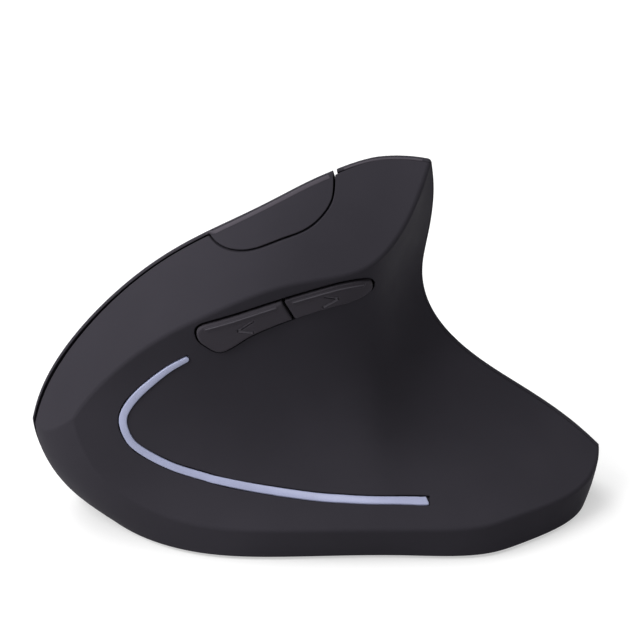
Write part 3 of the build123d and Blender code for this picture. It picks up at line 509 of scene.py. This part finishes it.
def cell_sleeve(name, colour):
    f = Finish(name)
    at = f.node("ShaderNodeSeparateXYZ")
    f.link(f.place, at.inputs[0])
    from_middle = f.math("ABSOLUTE", f.math("SUBTRACT", at.outputs["X"], between_cells))
    aside = f.math("SUBTRACT", from_middle, cell_aside)
    up = f.math("SUBTRACT", at.outputs["Z"], cell_centres[0].z)
    radius = f.math("SQRT", f.math("ADD", f.math("MULTIPLY", aside, aside), f.math("MULTIPLY", up, up)))
    bare = f.math("LESS_THAN", radius, CELL_END_R)
    ink = f.toned(f.noise(8 * MM), colour, 0.92, 1.08)
    rough = f.ramp(f.noise(1.5 * MM), 0.24, 0.34)
    return f.put(Base_Color=f.mix(bare, ink, (0.60, 0.60, 0.60)), Metallic=bare, Roughness=rough,
                 Normal=f.bump(f.noise(3 * MM), 0.004 * MM, f.rounded(0.3 * MM)))


sleeve_blue = cell_sleeve("cell_sleeve_blue", (0.03, 0.06, 0.16))
print("cells lie", round(2 * cell_aside / MM, 1), "mm apart")

# %% [markdown]
# ## Which finish goes where
# Each solid could be dressed by a line of its own. One list per finish shows at a glance what is made
# of the same stuff, and a last line prints the solids that get none, because a piece replaces them.

# %% Dress the solids
WEARS = {
    shell_black: ["thumb_shell", "rear_cover", "centre_strip"],
    button_black: ["left_button", "right_button"],
    thumb_key_black: ["forward_button", "back_button", "dpi_button"],
    base_black: ["base_plate", "battery_door", "power_knob"],
    inner_black: ["battery_tray", "receiver_bay", "thumb_button_tray", "wheel_yoke", "yoke_bracket"],
    foot_dark: ["front_foot", "rear_foot", "side_feet"],
    hub_grey: ["scroll_wheel"],
    steel: ["wheel_axle", "yoke_pin", "board_screws", "side_screws", "main_board_screws", "base_screws"],
    nickel: ["battery_spring_1", "battery_spring_2", "battery_contacts"],
    board_green: ["button_board", "main_board", "side_board"],
    switch_black: ["left_switch", "right_switch", "wheel_click_switch", "dpi_switch", "forward_switch",
                   "back_switch", "power_switch"],
    nylon_white: ["left_plunger", "right_plunger", "main_connector", "button_connector"],
    encoder_green: ["wheel_encoder"],
    chip_black: ["sensor_chip", "control_chip"],
    tin: ["radio_shield", "crystal", "receiver_plug"],
    capacitor_blue: ["capacitor"],
    lens_clear: ["sensor_lens"],
    light_red: ["sensor_light"],
    sleeve_blue: ["battery_1", "battery_2"],
    receiver_black: ["receiver_cap", "receiver_tongue"],
    film_white: ["ribbon_cable"],
}
for finish, names in WEARS.items():
    for name in names:
        mesh = nodes[name].data
        mesh.materials.clear()
        mesh.materials.append(finish)
print("solids without a finish:", sorted(set(nodes) - {n for names in WEARS.values() for n in names}))

# %% [markdown]
# ## Pieces that solids leave plain
# Some things are too fine for the solids: the crown of the bead in the thumb side, the arrows on the
# thumb buttons, the tread of the wheel, the legs of the chips. They could be bump in a material, but
# then they would be flat from the side. Each is a mesh of its own that rides on the body that carries
# it, and most are skins through rings of points.

# %% Making a piece
def skinned(loops, closed=False):
    """A shape through loops of equal length, with its ends closed, or joined when it runs in a ring."""
    n, last = len(loops[0]), len(loops) - (0 if closed else 1)
    verts = [Vector(v) for loop in loops for v in loop]
    faces = []
    for i in range(last):
        here, there = i * n, (i + 1) % len(loops) * n
        faces += [(here + j, here + (j + 1) % n, there + (j + 1) % n, there + j) for j in range(n)]
    if not closed:
        faces += [tuple(reversed(range(n))), tuple(range(len(verts) - n, len(verts)))]
    return verts, faces


def piece(name, parts, finish, body, smooth_below=35):
    """One object from several shapes; edges flatter than `smooth_below` degrees are shaded smooth."""
    mesh = bpy.data.meshes.new(name)
    verts, faces = [], []
    for part_verts, part_faces in parts:
        faces += [tuple(len(verts) + v for v in face) for face in part_faces]
        verts += part_verts
    mesh.from_pydata(verts, [], faces)
    work = bmesh.new()
    work.from_mesh(mesh)
    bmesh.ops.recalc_face_normals(work, faces=work.faces)
    work.to_mesh(mesh)
    work.free()
    mesh.materials.append(finish)
    mesh.shade_smooth()
    mesh.set_sharp_from_angle(angle=math.radians(smooth_below))
    made = bpy.data.objects.new(name, mesh)
    scene.collection.objects.link(made)
    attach(made, body)
    return made


print("a piece is a mesh, a finish and a body")


# %% [markdown]
# Strips that follow the casing need to know how deep its surface lies. A Shrinkwrap modifier could
# press them on, but it also flattens their section. Instead a Catmull-Rom path runs smoothly through
# a few chosen points, and rays sent into the thumb side find the surface and its normal at each step.

# %% Paths on the surface
INWARDS = Vector((1, 0, 0))
RAY_START = -80                  # on X, in millimetres: well outside the thumb side
NORMAL_PASSES = 4                # how often the normals of a faceted surface are evened out


def smooth(points, steps):
    """A smooth path through the points, `steps` pieces to each stretch."""
    first = [2 * a - b for a, b in zip(points[0], points[1])]
    last = [2 * a - b for a, b in zip(points[-1], points[-2])]
    chain, path = [first, *points, last], []
    for p0, p1, p2, p3 in zip(chain, chain[1:], chain[2:], chain[3:]):
        for k in range(steps):
            t = k / steps
            path.append([0.5 * (2 * b + (c - a) * t + (2 * a - 5 * b + 4 * c - d) * t * t
                                + (3 * b - a - 3 * c + d) * t ** 3) for a, b, c, d in zip(p0, p1, p2, p3)])
    return path + [list(points[-1])]


def skin_of(name):
    mesh = nodes[name].data
    return BVHTree.FromPolygons([v.co for v in mesh.vertices], [face.vertices for face in mesh.polygons])


def met_by_ray(skin, y, z):
    """Where a ray at (y, z) in millimetres meets the skin, with its normal there, or None twice."""
    return skin.ray_cast(Vector((RAY_START, y, z)) * MM, INWARDS)[:2]


def laid_on(skin, path, lift=0.0):
    """Points `lift` millimetres off the skin and outward normals, for (y, z) in millimetres."""
    hits = [met_by_ray(skin, y, z) for y, z in path]
    found = [(point - INWARDS * (lift * MM), normal) for point, normal in hits if point is not None]
    for _ in range(NORMAL_PASSES):
        ends = [found[0], *found, found[-1]]
        found = [(b[0], (a[1] + b[1] * 2 + c[1]).normalized())
                 for a, b, c in zip(ends, ends[1:], ends[2:])]
    return found


print("rays start at x =", RAY_START, "mm")

# %% [markdown]
# Every strip is then a closed section carried along places on such a path. A curve with a bevel
# object could carry it too, but here the two sides may differ in width, and the ends may run out.

# %% A section carried along places
FULL_INSET = 0.45 * MM           # half width from which the insets of a section count in full


def swept(places, section):
    """A closed section carried along places.

    A place is (point, across, up, widths to the two sides, rise). A corner of the section is
    (side, inset, height) in millimetres: side -1 or 1, inset from that edge towards the middle,
    height above the surface, which the rise scales down where the shape runs out.
    """
    loops = []
    for point, across, up, sides, rise in places:
        loop = []
        for side, inset, height in section:
            half = sides[0] if side < 0 else sides[1]
            reach = max(0.0, half - inset * MM * min(1, half / FULL_INSET))
            height = max(height, 0) * rise + min(height, 0)
            loop.append(point + across * (side * reach) + up * (height * MM))
        loops.append(loop)
    return skinned(loops)


def quarter(s):
    """Height of a quarter circle at s of its radius, from 0 at its foot to 1."""
    s = min(1.0, max(0.0, s))
    return math.sqrt(1 - (1 - s) ** 2)


print("a section is a list of corners")

# %% [markdown]
# ## The accent bead
# A pale bead lies in a groove of the thumb side and swings round the hollow. The plain solid in the
# groove ends square and has a flat top, so this bead replaces it: crowned, with rounded edges, a round
# upper end and a rear end cut on a slant. Its points are chosen on the photograph's outline.

# %% Course and section of the bead
BEAD = [(26.7, 41.3, 1.3), (30.9, 39.0, 1.5), (35.0, 35.8, 1.7), (38.1, 32.8, 1.8), (40.2, 29.7, 1.8),
        (40.7, 27.2, 1.8), (39.9, 24.4, 1.75), (38.3, 22.2, 1.7), (34.7, 19.85, 1.7), (29.9, 17.72, 1.6),
        (24.0, 16.1, 1.55), (20.7, 15.33, 1.5), (12.1, 13.9, 1.4), (1.5, 12.6, 1.25), (-6.5, 12.1, 1.15),
        (-14.5, 11.7, 1.05), (-23.3, 11.0, 0.95)]         # y, z and width seen from the side
BEAD_STEPS = 40                                          # pieces of the path between two points
BEAD_DEPTH, BEAD_ROUND, BEAD_CROWN = 0.9, 0.24, 0.05     # below the surface, radius of its edges, arch
BEAD_FIT = (0.0, 0.12)                                   # gap to the groove, inside and outside
BEAD_SLANT, BEAD_CORNER = 0.36, 0.8                      # how the rear end is cut, radius of its corner
SLANT_FROM = 2.0                                         # where before the end the slant begins


def bead_section():
    """Corners from the foot of one side over the crown to the foot of the other."""
    edge = [(-1, BEAD_ROUND * (1 - math.cos(a)), BEAD_ROUND * math.sin(a))
            for a in (math.radians(18 * k) for k in range(6))]
    half = [(-1, 0, -BEAD_DEPTH), *edge, (-1, 0.5, BEAD_ROUND + BEAD_CROWN)]
    return half + [(1, inset, height) for side, inset, height in reversed(half)]


def spaced(total, step=0.5):
    """Distances along a path in millimetres, close together near its ends, where the shape changes."""
    ends = [0.0, 0.02, 0.06, 0.13, 0.24, 0.36, 0.5, 0.75]
    return ends + [d * step for d in range(2, int(total / step) - 1)] + [total - d for d in reversed(ends)]


print("bead: section of", len(bead_section()), "corners")


# %% Lay the bead
def lengths_along(ground):
    travel = [0.0]
    for (a, _), (b, _) in zip(ground, ground[1:]):
        travel.append(travel[-1] + (b - a).length)
    return travel


def at_length(ground, travel, d):
    """Point, outward normal and direction at a length along the path, and the stretch it falls in."""
    i = next(k for k in range(1, len(travel)) if travel[k] >= d - 1e-9)
    t = (d - travel[i - 1]) / (travel[i] - travel[i - 1])
    point, up = (a.lerp(b, t) for a, b in zip(ground[i - 1], ground[i]))
    return point, up.normalized(), (ground[i][0] - ground[i - 1][0]).normalized(), i


def bead_places():
    """Round at the upper end, cut on a slant with one rounded corner at the rear end."""
    path = smooth(BEAD, BEAD_STEPS)
    ground = laid_on(skin_of("accent_strip"), [(y, z) for y, z, width in path])
    missed = len(path) - len(ground)             # rays that pass the upper end of the solid
    travel = lengths_along(ground)
    total, places, across = travel[-1] - BEAD_SLANT * MM, [], Vector((0, 0, 1))
    for d in spaced(total / MM):
        d = min(total, d * MM)
        point, up, along, i = at_length(ground, travel, d)
        side = up.cross(along).normalized()
        across = side if side.dot(across) > 0 else -side         # stays on one side round the turn
        seen_width = path[min(i + missed, len(path) - 1)][2]
        half = seen_width / 2 / math.hypot(across.y, across.z) * MM
        start, stop = d / MM, (total - d) / MM
        half *= max(0.1, quarter(start * MM / half))
        corner = BEAD_CORNER * MM * (1 - quarter(stop / BEAD_CORNER))
        lean = BEAD_SLANT * max(0.0, 1 - stop / SLANT_FROM)
        rise = max(0.05, min(quarter(start / BEAD_ROUND), quarter(stop / BEAD_ROUND)))
        sides = [max(0.1 * MM, half - fit * MM) for fit in BEAD_FIT]
        places.append((point, across + along * lean, up, (sides[0], sides[1] - corner), rise))
    return places, total


places, length = bead_places()
bead = piece("accent_bead", [swept(places, bead_section())], strip_silver, "case", 50)
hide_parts("accent_strip")
print("bead:", round(length / MM, 1), "mm long,", len(bead.data.polygons), "faces")


# %% [markdown]
# ## Relief of the thumb buttons
# Each thumb button carries an arrow. On the real object it is a groove with one sloping side: the slope
# of the lower arm faces up and catches the light, that of the upper arm faces down and stays dark. The
# solids have the grooves, and a Boolean could tilt their floors. Two small swept wedges on the floor
# of each groove give the same light and leave the solid as it is.

# %% Arrows on the thumb buttons
ARROWS = {"forward_button": (14.74, 47.6, 1), "back_button": (-2.36, 52.0, -1)}     # y, z, pointing way
ARROW_TIP, ARROW_TAIL, ARROW_UPPER, ARROW_LOWER = (1.9, -0.5), -1.5, 1.6, -1.2      # from that place
GROOVE, SLOPE_HALF = 0.3, 0.27                                                      # depth, half width
SLOPE_UP = [(-1, 0, -0.55), (-1, 0, 0.04), (-1, 0.08, 0.04),
            (1, 0.12, -0.26), (1, 0, -0.30), (1, 0, -0.55)]
SLOPE_DOWN = [(-side, inset, height) for side, inset, height in SLOPE_UP]


def facing_up(up, along):
    """The direction across a strip, on its upper side."""
    across = up.cross(along).normalized()
    return across if across.z > 0 else -across


for key, (y, z, way) in ARROWS.items():
    skin, arms = skin_of(key), []
    tip = (y + ARROW_TIP[0] * way, z + ARROW_TIP[1] * way)
    for end_z, slope in ((ARROW_UPPER, SLOPE_DOWN), (ARROW_LOWER, SLOPE_UP)):
        end = (y + ARROW_TAIL * way, z + end_z)
        line = [[a + (b - a) * t for a, b in zip(tip, end)] for t in (0.06, 0.3, 0.5, 0.7, 0.94)]
        ground = laid_on(skin, line, GROOVE)
        along = (ground[-1][0] - ground[0][0]).normalized()
        sides = (SLOPE_HALF * MM, SLOPE_HALF * MM)
        arms.append(swept([(point, facing_up(up, along), up, sides, 1.0) for point, up in ground], slope))
    # The wedges wear the lighter coat of the painted highlight.
    piece(key.replace("button", "arrow"), arms, thumb_key_painted_highlight, key)
print("arrows:", list(ARROWS))

# %% [markdown]
# The face of each thumb button ends in a soft brow just under its upper edge, with a crest in a lighter
# colour that paints its highlight. A rounded solid edge would need many faces. A low swept strip gives
# the same, once the upper edge is known: at each y it is the highest ray that still meets the button.

# %% Along the upper edge of a solid
EDGE_STEP, EDGE_MARGIN, RAY_DROP = 0.35, 0.9, 0.05       # along y, kept clear of both ends, down in z
STEEPEST, EDGE_PASSES, RUN_OUT = 0.75, 6, 5              # slope of the edge, smoothings, places at each end


def upper_edge(skin, low, high, span):
    """(y, z) in millimetres along the upper edge of a node, seen from the thumb side."""
    y, last = span or (low[1] + EDGE_MARGIN, high[1] - EDGE_MARGIN)
    edge = []
    while y < last:
        z = high[2]
        while z > low[2] and met_by_ray(skin, y, z)[0] is None:
            z -= RAY_DROP
        edge.append((y, z))
        y += EDGE_STEP
    return edge


def box_mm(name):
    return [[v / MM for v in corner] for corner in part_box(name)]


def along_edge(name, drop, half, span=None):
    """Places on a node, `drop` millimetres below its upper edge, running out at both ends."""
    skin = skin_of(name)
    edge = upper_edge(skin, *box_mm(name), span)
    level = [b for a, b in zip(edge, edge[1:]) if abs(b[1] - a[1]) < STEEPEST * (b[0] - a[0])][1:-1]
    line = [(y, z - drop) for y, z in level]
    for _ in range(EDGE_PASSES):
        inner = [(b[0], (a[1] + 2 * b[1] + c[1]) / 4) for a, b, c in zip(line, line[1:], line[2:])]
        line = [line[0], *inner, line[-1]]
    ground, places = laid_on(skin, line), []
    last = len(ground) - 1
    for i, (point, up) in enumerate(ground):
        along = (ground[min(i + 1, last)][0] - ground[max(i - 1, 0)][0]).normalized()
        rise = max(0.02, quarter(min(i, last - i) / RUN_OUT))
        places.append((point, facing_up(up, along), up, (half * MM, half * MM), rise))
    return places


print("edges are followed in steps of", EDGE_STEP, "mm")

# %% Brows and crests
BROW_DROP, BROW_HALF, BROW_RISE = 1.15, 0.75, 0.16
BROW = [(-1, 0, -0.25), (-1, 0, -0.01), (-1, 0.75, 0.55 * BROW_RISE), (1, 0.42, BROW_RISE),
        (1, 0.30, 0.92 * BROW_RISE), (1, 0.10, 0.3 * BROW_RISE), (1, 0, -0.02), (1, 0, -0.25)]
CREST_DROP, CREST_HALF, CREST_RISE = BROW_DROP - 0.33, 0.16, 0.05
CREST_TOP, CREST_EDGE = BROW_RISE + CREST_RISE, BROW_RISE + 0.3 * CREST_RISE
CREST = [(-1, 0, 0.0), (-1, 0.05, CREST_EDGE), (-1, 0.12, CREST_TOP),
         (1, 0.12, CREST_TOP), (1, 0.05, CREST_EDGE), (1, 0, 0.0)]
EVEN = 60                        # degrees: these low strips are shaded smooth all over

for key in ARROWS:
    brow = swept(along_edge(key, BROW_DROP, BROW_HALF), BROW)
    crest = swept(along_edge(key, CREST_DROP, CREST_HALF), CREST)
    piece(key.replace("button", "brow"), [brow], thumb_key_black, key, EVEN)
    # The crest's lighter colour is a painted highlight.
    piece(key.replace("button", "crest"), [crest], thumb_key_painted_highlight, key, EVEN)
print("brows on", list(ARROWS))

# %% [markdown]
# On the ridge the skin rolls over to the side of the main buttons. A lighter coat on that narrow roll
# paints the highlight of the bright line on top of the mouse, broken only by the joint behind the
# left button. A mask in the casing's material would cross the joint, so it is a thin strip on each side.

# %% Painted highlight along the ridge
# Section of the strip that paints the highlight along the ridge.
RIDGE_HIGHLIGHT_LINE = [(-1, 0, -0.2), (-1, 0.05, 0.02), (-1, 0.16, 0.05),
             (1, 0.16, 0.05), (1, 0.05, 0.02), (1, 0, -0.2)]
RIDGE = {                        # body, slot, span on y, drop below the ridge, half width
    "left_button": ("left_button", "button_black", (-3.7, 23.8), 0.50, 0.50),
    "rear_cover": ("case", "shell_black", (-22.5, -4.8), 0.27, 0.24),
}
for solid, (body, slot, span, drop, half) in RIDGE.items():
    edge_wear_and_highlight = swept(along_edge(solid, drop, half, span), RIDGE_HIGHLIGHT_LINE)
    line = piece(solid + "_ridge", [edge_wear_and_highlight], ridge_highlight_paint, body, EVEN)
    print(line.name, len(line.data.polygons), "faces")


# %% [markdown]
# ## What repeats
# The blocks of a tread, the legs of a chip and the contacts of a plug repeat evenly. An Array modifier
# makes rows, but rings only with a helper object. One tree of Geometry Nodes makes both: copies of a
# small part, each moved on by a pitch and turned on by an angle. A row has no turn, a ring no pitch.

# %% A tree for rows and rings
def repeat_tree():
    tree = bpy.data.node_groups.new("repeat", "GeometryNodeTree")
    for label, kind in (("Part", "Object"), ("Count", "Int"), ("Pitch", "Vector"), ("Turn", "Float"),
                        ("Finish", "Material")):
        tree.interface.new_socket(name=label, in_out="INPUT", socket_type="NodeSocket" + kind)
    tree.interface.new_socket(name="Geometry", in_out="OUTPUT", socket_type="NodeSocketGeometry")

    def node(kind, **links):
        made = tree.nodes.new(kind)
        for label, source in links.items():
            tree.links.new(source, made.inputs[label.replace("_", " ")])
        return made

    given = node("NodeGroupInput").outputs
    line = node("GeometryNodeMeshLine", Count=given["Count"], Offset=given["Pitch"])
    angle = math_node(tree, "MULTIPLY", node("GeometryNodeInputIndex").outputs[0], given["Turn"])
    turned = node("ShaderNodeCombineXYZ", Z=angle)
    part = node("GeometryNodeObjectInfo", Object=given["Part"])
    copies = node("GeometryNodeInstanceOnPoints", Points=line.outputs[0],
                  Instance=part.outputs["Geometry"], Rotation=turned.outputs[0])
    real = node("GeometryNodeRealizeInstances", Geometry=copies.outputs[0])
    dressed = node("GeometryNodeSetMaterial", Geometry=real.outputs[0], Material=given["Finish"])
    node("NodeGroupOutput", Geometry=dressed.outputs[0])
    return tree


REPEAT = repeat_tree()
print("tree:", REPEAT.name, "with", len(REPEAT.nodes), "nodes")


# %% Copies through the tree
def repeated(part, finish, count, pitch=(0, 0, 0), turn=0.0):
    """The shape of `count` copies of a shape; the pitch is in millimetres, the turn in radians."""
    mesh = bpy.data.meshes.new("part")
    mesh.from_pydata(part[0], [], part[1])
    source = bpy.data.objects.new("part", mesh)
    holder = bpy.data.objects.new("repeat", bpy.data.meshes.new("empty"))
    for thing in (source, holder):
        scene.collection.objects.link(thing)
    modifier = holder.modifiers.new("repeat", "NODES")
    modifier.node_group = REPEAT
    values = {"Part": source, "Count": count, "Pitch": [v * MM for v in pitch], "Turn": turn,
              "Finish": finish}
    for socket in REPEAT.interface.items_tree:
        if socket.in_out == "INPUT":
            modifier[socket.identifier] = values[socket.name]
    ready = holder.evaluated_get(bpy.context.evaluated_depsgraph_get())
    result = bpy.data.meshes.new_from_object(ready)
    made = [v.co.copy() for v in result.vertices], [tuple(face.vertices) for face in result.polygons]
    for thing in (source, holder):
        bpy.data.objects.remove(thing)
    bpy.data.meshes.remove(result)
    return made


def placed(part, matrix):
    verts, faces = part
    return [matrix @ v for v in verts], faces


print("repeats come back as plain shapes")

# %% [markdown]
# The wheel wears a rubber tyre with a channel round it, filled with low blocks that give grip. The
# solid tyre is plain, since 28 blocks would cost the simulation much and tell it nothing. Here a
# section runs round the axle, and the tree for rings sets the blocks into its channel.

# %% Tread
TYRE_R, TYRE_HALF, TYRE_BORE, TYRE_EDGE = 11.5, 3.5, 9.3, 0.9
TREAD_HALF, TREAD_DEPTH, TREAD_BLOCKS, TREAD_GAP = 2.3, 0.32, 28, 0.8
TYRE_STEPS = 112


def tyre_profile():
    """(radius, height along the axle) round the section, in millimetres."""
    edge = [(TYRE_R - TYRE_EDGE * (1 - math.cos(a)), TYRE_HALF - TYRE_EDGE * (1 - math.sin(a)))
            for a in (math.radians(15 * k) for k in range(7))]
    floor_r = TYRE_R - TREAD_DEPTH
    channel = [(floor_r, TREAD_HALF - 0.25), (floor_r + 0.05, TREAD_HALF),
               (TYRE_R - 0.05, TREAD_HALF + 0.02), (TYRE_R, TREAD_HALF + 0.08)]
    half = channel + edge + [(TYRE_BORE, TYRE_HALF)]
    return half + [(r, -z) for r, z in reversed(half)]


def round_axle(profile, steps):
    angles = [2 * math.pi * k / steps for k in range(steps)]
    return skinned([[(r * math.cos(a) * MM, r * math.sin(a) * MM, z * MM) for r, z in profile]
                    for a in angles], closed=True)


def tread_block():
    """A block on the +X side of the wheel: a low loaf with bevelled edges."""
    wide = math.pi * TYRE_R / TREAD_BLOCKS - TREAD_GAP / 2
    deep = TYRE_R - TREAD_DEPTH - 0.1
    layers = [(deep, 0.0), (TYRE_R - 0.14, 0.0), (TYRE_R - 0.04, 0.06), (TYRE_R, 0.16)]
    return skinned([[(r * MM, side * (wide - bevel) * MM, end * (TREAD_HALF - 0.1 - bevel) * MM)
                     for side, end in ((-1, -1), (1, -1), (1, 1), (-1, 1))] for r, bevel in layers])


wheel_joint = next(joint for joint in frame["joints"] if joint["name"] == "wheel_turn")
axle = Vector(wheel_joint["axis"]).normalized()
wheel_low, wheel_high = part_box("wheel_tyre")
wheel_centre = Matrix.Translation((Vector(wheel_low) + Vector(wheel_high)) / 2)
on_axle = wheel_centre @ axle.to_track_quat("Z", "Y").to_matrix().to_4x4()
band = round_axle(tyre_profile(), TYRE_STEPS)
blocks = repeated(tread_block(), tyre_rubber, TREAD_BLOCKS, turn=2 * math.pi / TREAD_BLOCKS)
tyre = piece("wheel_tread", [placed(part, on_axle) for part in (band, blocks)], tyre_rubber, "wheel")
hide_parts("wheel_tyre")
print("tyre:", len(tyre.data.polygons), "faces")


# %% [markdown]
# ## Small parts inside
# Two chips stand on rows of bent tin legs. Modelling each leg by itself would be slow work, so one
# leg is drawn along +X, the tree repeats it along a side of the chip, and a turn of 90 degrees
# brings the row to the next side.

# %% Legs of the chips
BOARD_TOP = box_mm("main_board")[1][2]
LEG_THICK = 0.12
LEGS = {                         # sides (0 is +X, 1 is +Y, and so on), count, pitch, length, height, width
    "control_chip": ((0, 1, 2, 3), 8, 0.5, 0.42, 0.35, 0.22),
    "sensor_chip": ((1, 3), 8, 1.0, 0.65, 0.9, 0.42),
}


def leg(out, high, wide):
    """A leg from a chip's side at x = 0 along +X, down to the board and outwards."""
    line = [(-0.1, high), (0.32 * out, high), (0.55 * out, 0.0), (out, 0.0)]
    return skinned([[(x * MM, side * wide / 2 * MM, (z + t * LEG_THICK) * MM)
                     for side, t in ((-1, 0), (1, 0), (1, 1), (-1, 1))] for x, z in line])


def rows_of_legs(low, high, sides, count, pitch, out, rise, wide):
    """Rows of legs on the named sides of a chip's box in millimetres."""
    rows = []
    seat = Matrix.Translation(Vector(((low[0] + high[0]) / 2, (low[1] + high[1]) / 2, BOARD_TOP)) * MM)
    for side in sides:
        reach = (high[side % 2] - low[side % 2]) / 2
        first = Matrix.Translation(Vector((reach, -pitch * (count - 1) / 2, 0)) * MM)
        row = repeated(placed(leg(out, rise, wide), first), tin, count, (0, pitch, 0))
        rows.append(placed(row, seat @ Matrix.Rotation(math.radians(90 * side), 4, "Z")))
    return rows


for chip, legs in LEGS.items():
    piece(chip + "_legs", rows_of_legs(*box_mm(chip), *legs), tin, "case")
print("legs for", list(LEGS))

# %% [markdown]
# A board also carries rows of resistors: black blocks of about a millimetre with a tin cap at both
# ends. A texture could show them, but the door opens onto them, so they are low blocks in rows.

# %% Resistors
RESISTORS = [                    # place of the first one, count, pitch
    ((-12.5, 11.0), 4, 1.5),
    ((-17.5, 24.5), 4, 1.7),
    ((4.5, 36.6), 3, 1.5),
]
BODY_X, CAPS_X, TOP_BEVEL = (-0.5, 0.5), ((-0.8, -0.48), (0.48, 0.8)), 0.05


def low_block(place, x_span, half, top):
    """A small block on the board with a bevelled top, from its place in millimetres."""
    layers = ((half, 0), (half, top - TOP_BEVEL), (half - TOP_BEVEL, top))
    corners = ((x_span[0], -1), (x_span[1], -1), (x_span[1], 1), (x_span[0], 1))
    return skinned([[((place[0] + x) * MM, (place[1] + side * y) * MM, (BOARD_TOP + z) * MM)
                     for x, side in corners] for y, z in layers])


bodies, ends = [], []
for place, count, pitch in RESISTORS:
    bodies.append(repeated(low_block(place, BODY_X, 0.40, 0.45), chip_black, count, (0, pitch, 0)))
    ends += [repeated(low_block(place, cap_x, 0.42, 0.48), tin, count, (0, pitch, 0)) for cap_x in CAPS_X]
piece("resistor_bodies", bodies, chip_black, "case")
piece("resistor_ends", ends, tin, "case")
print("resistors:", sum(count for place, count, pitch in RESISTORS))

# %% [markdown]
# The receiver's plug carries four flat gold contacts on its tongue. They are repeated from one low
# bar with bevelled edges, which sits on the upper face of the tongue's box.

# %% Contacts of the receiver
CONTACTS, CONTACT_SPREAD, CONTACT_HALF = 4, 7.0, 0.5     # count, first to last, half width
CONTACT_START, CONTACT_END = 6.5, 0.6                    # from the two ends of the tongue

low, high = box_mm("receiver_tongue")
contact_y = (low[1] + high[1] - CONTACT_SPREAD) / 2
contact_x = (low[0] + CONTACT_START, high[0] - CONTACT_END)
layers = ((CONTACT_HALF, -0.08), (CONTACT_HALF, 0.03), (CONTACT_HALF - 0.08, 0.07))
contact = skinned([[(contact_x[end] * MM, (contact_y + side * half) * MM, (high[2] + z) * MM)
                    for end, side in ((0, -1), (1, -1), (1, 1), (0, 1))] for half, z in layers])
contacts = repeated(contact, gold, CONTACTS, (0, CONTACT_SPREAD / (CONTACTS - 1), 0))
piece("receiver_contacts", [contacts], gold, "receiver")
print("receiver contacts:", CONTACTS)

# %% [markdown]
# ## The size
# The box of the finished model should agree with the box of the solids, so it is measured and printed.

# %% Measure the box
low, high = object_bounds()
print("visual box:", [round(v, 4) for v in high - low])
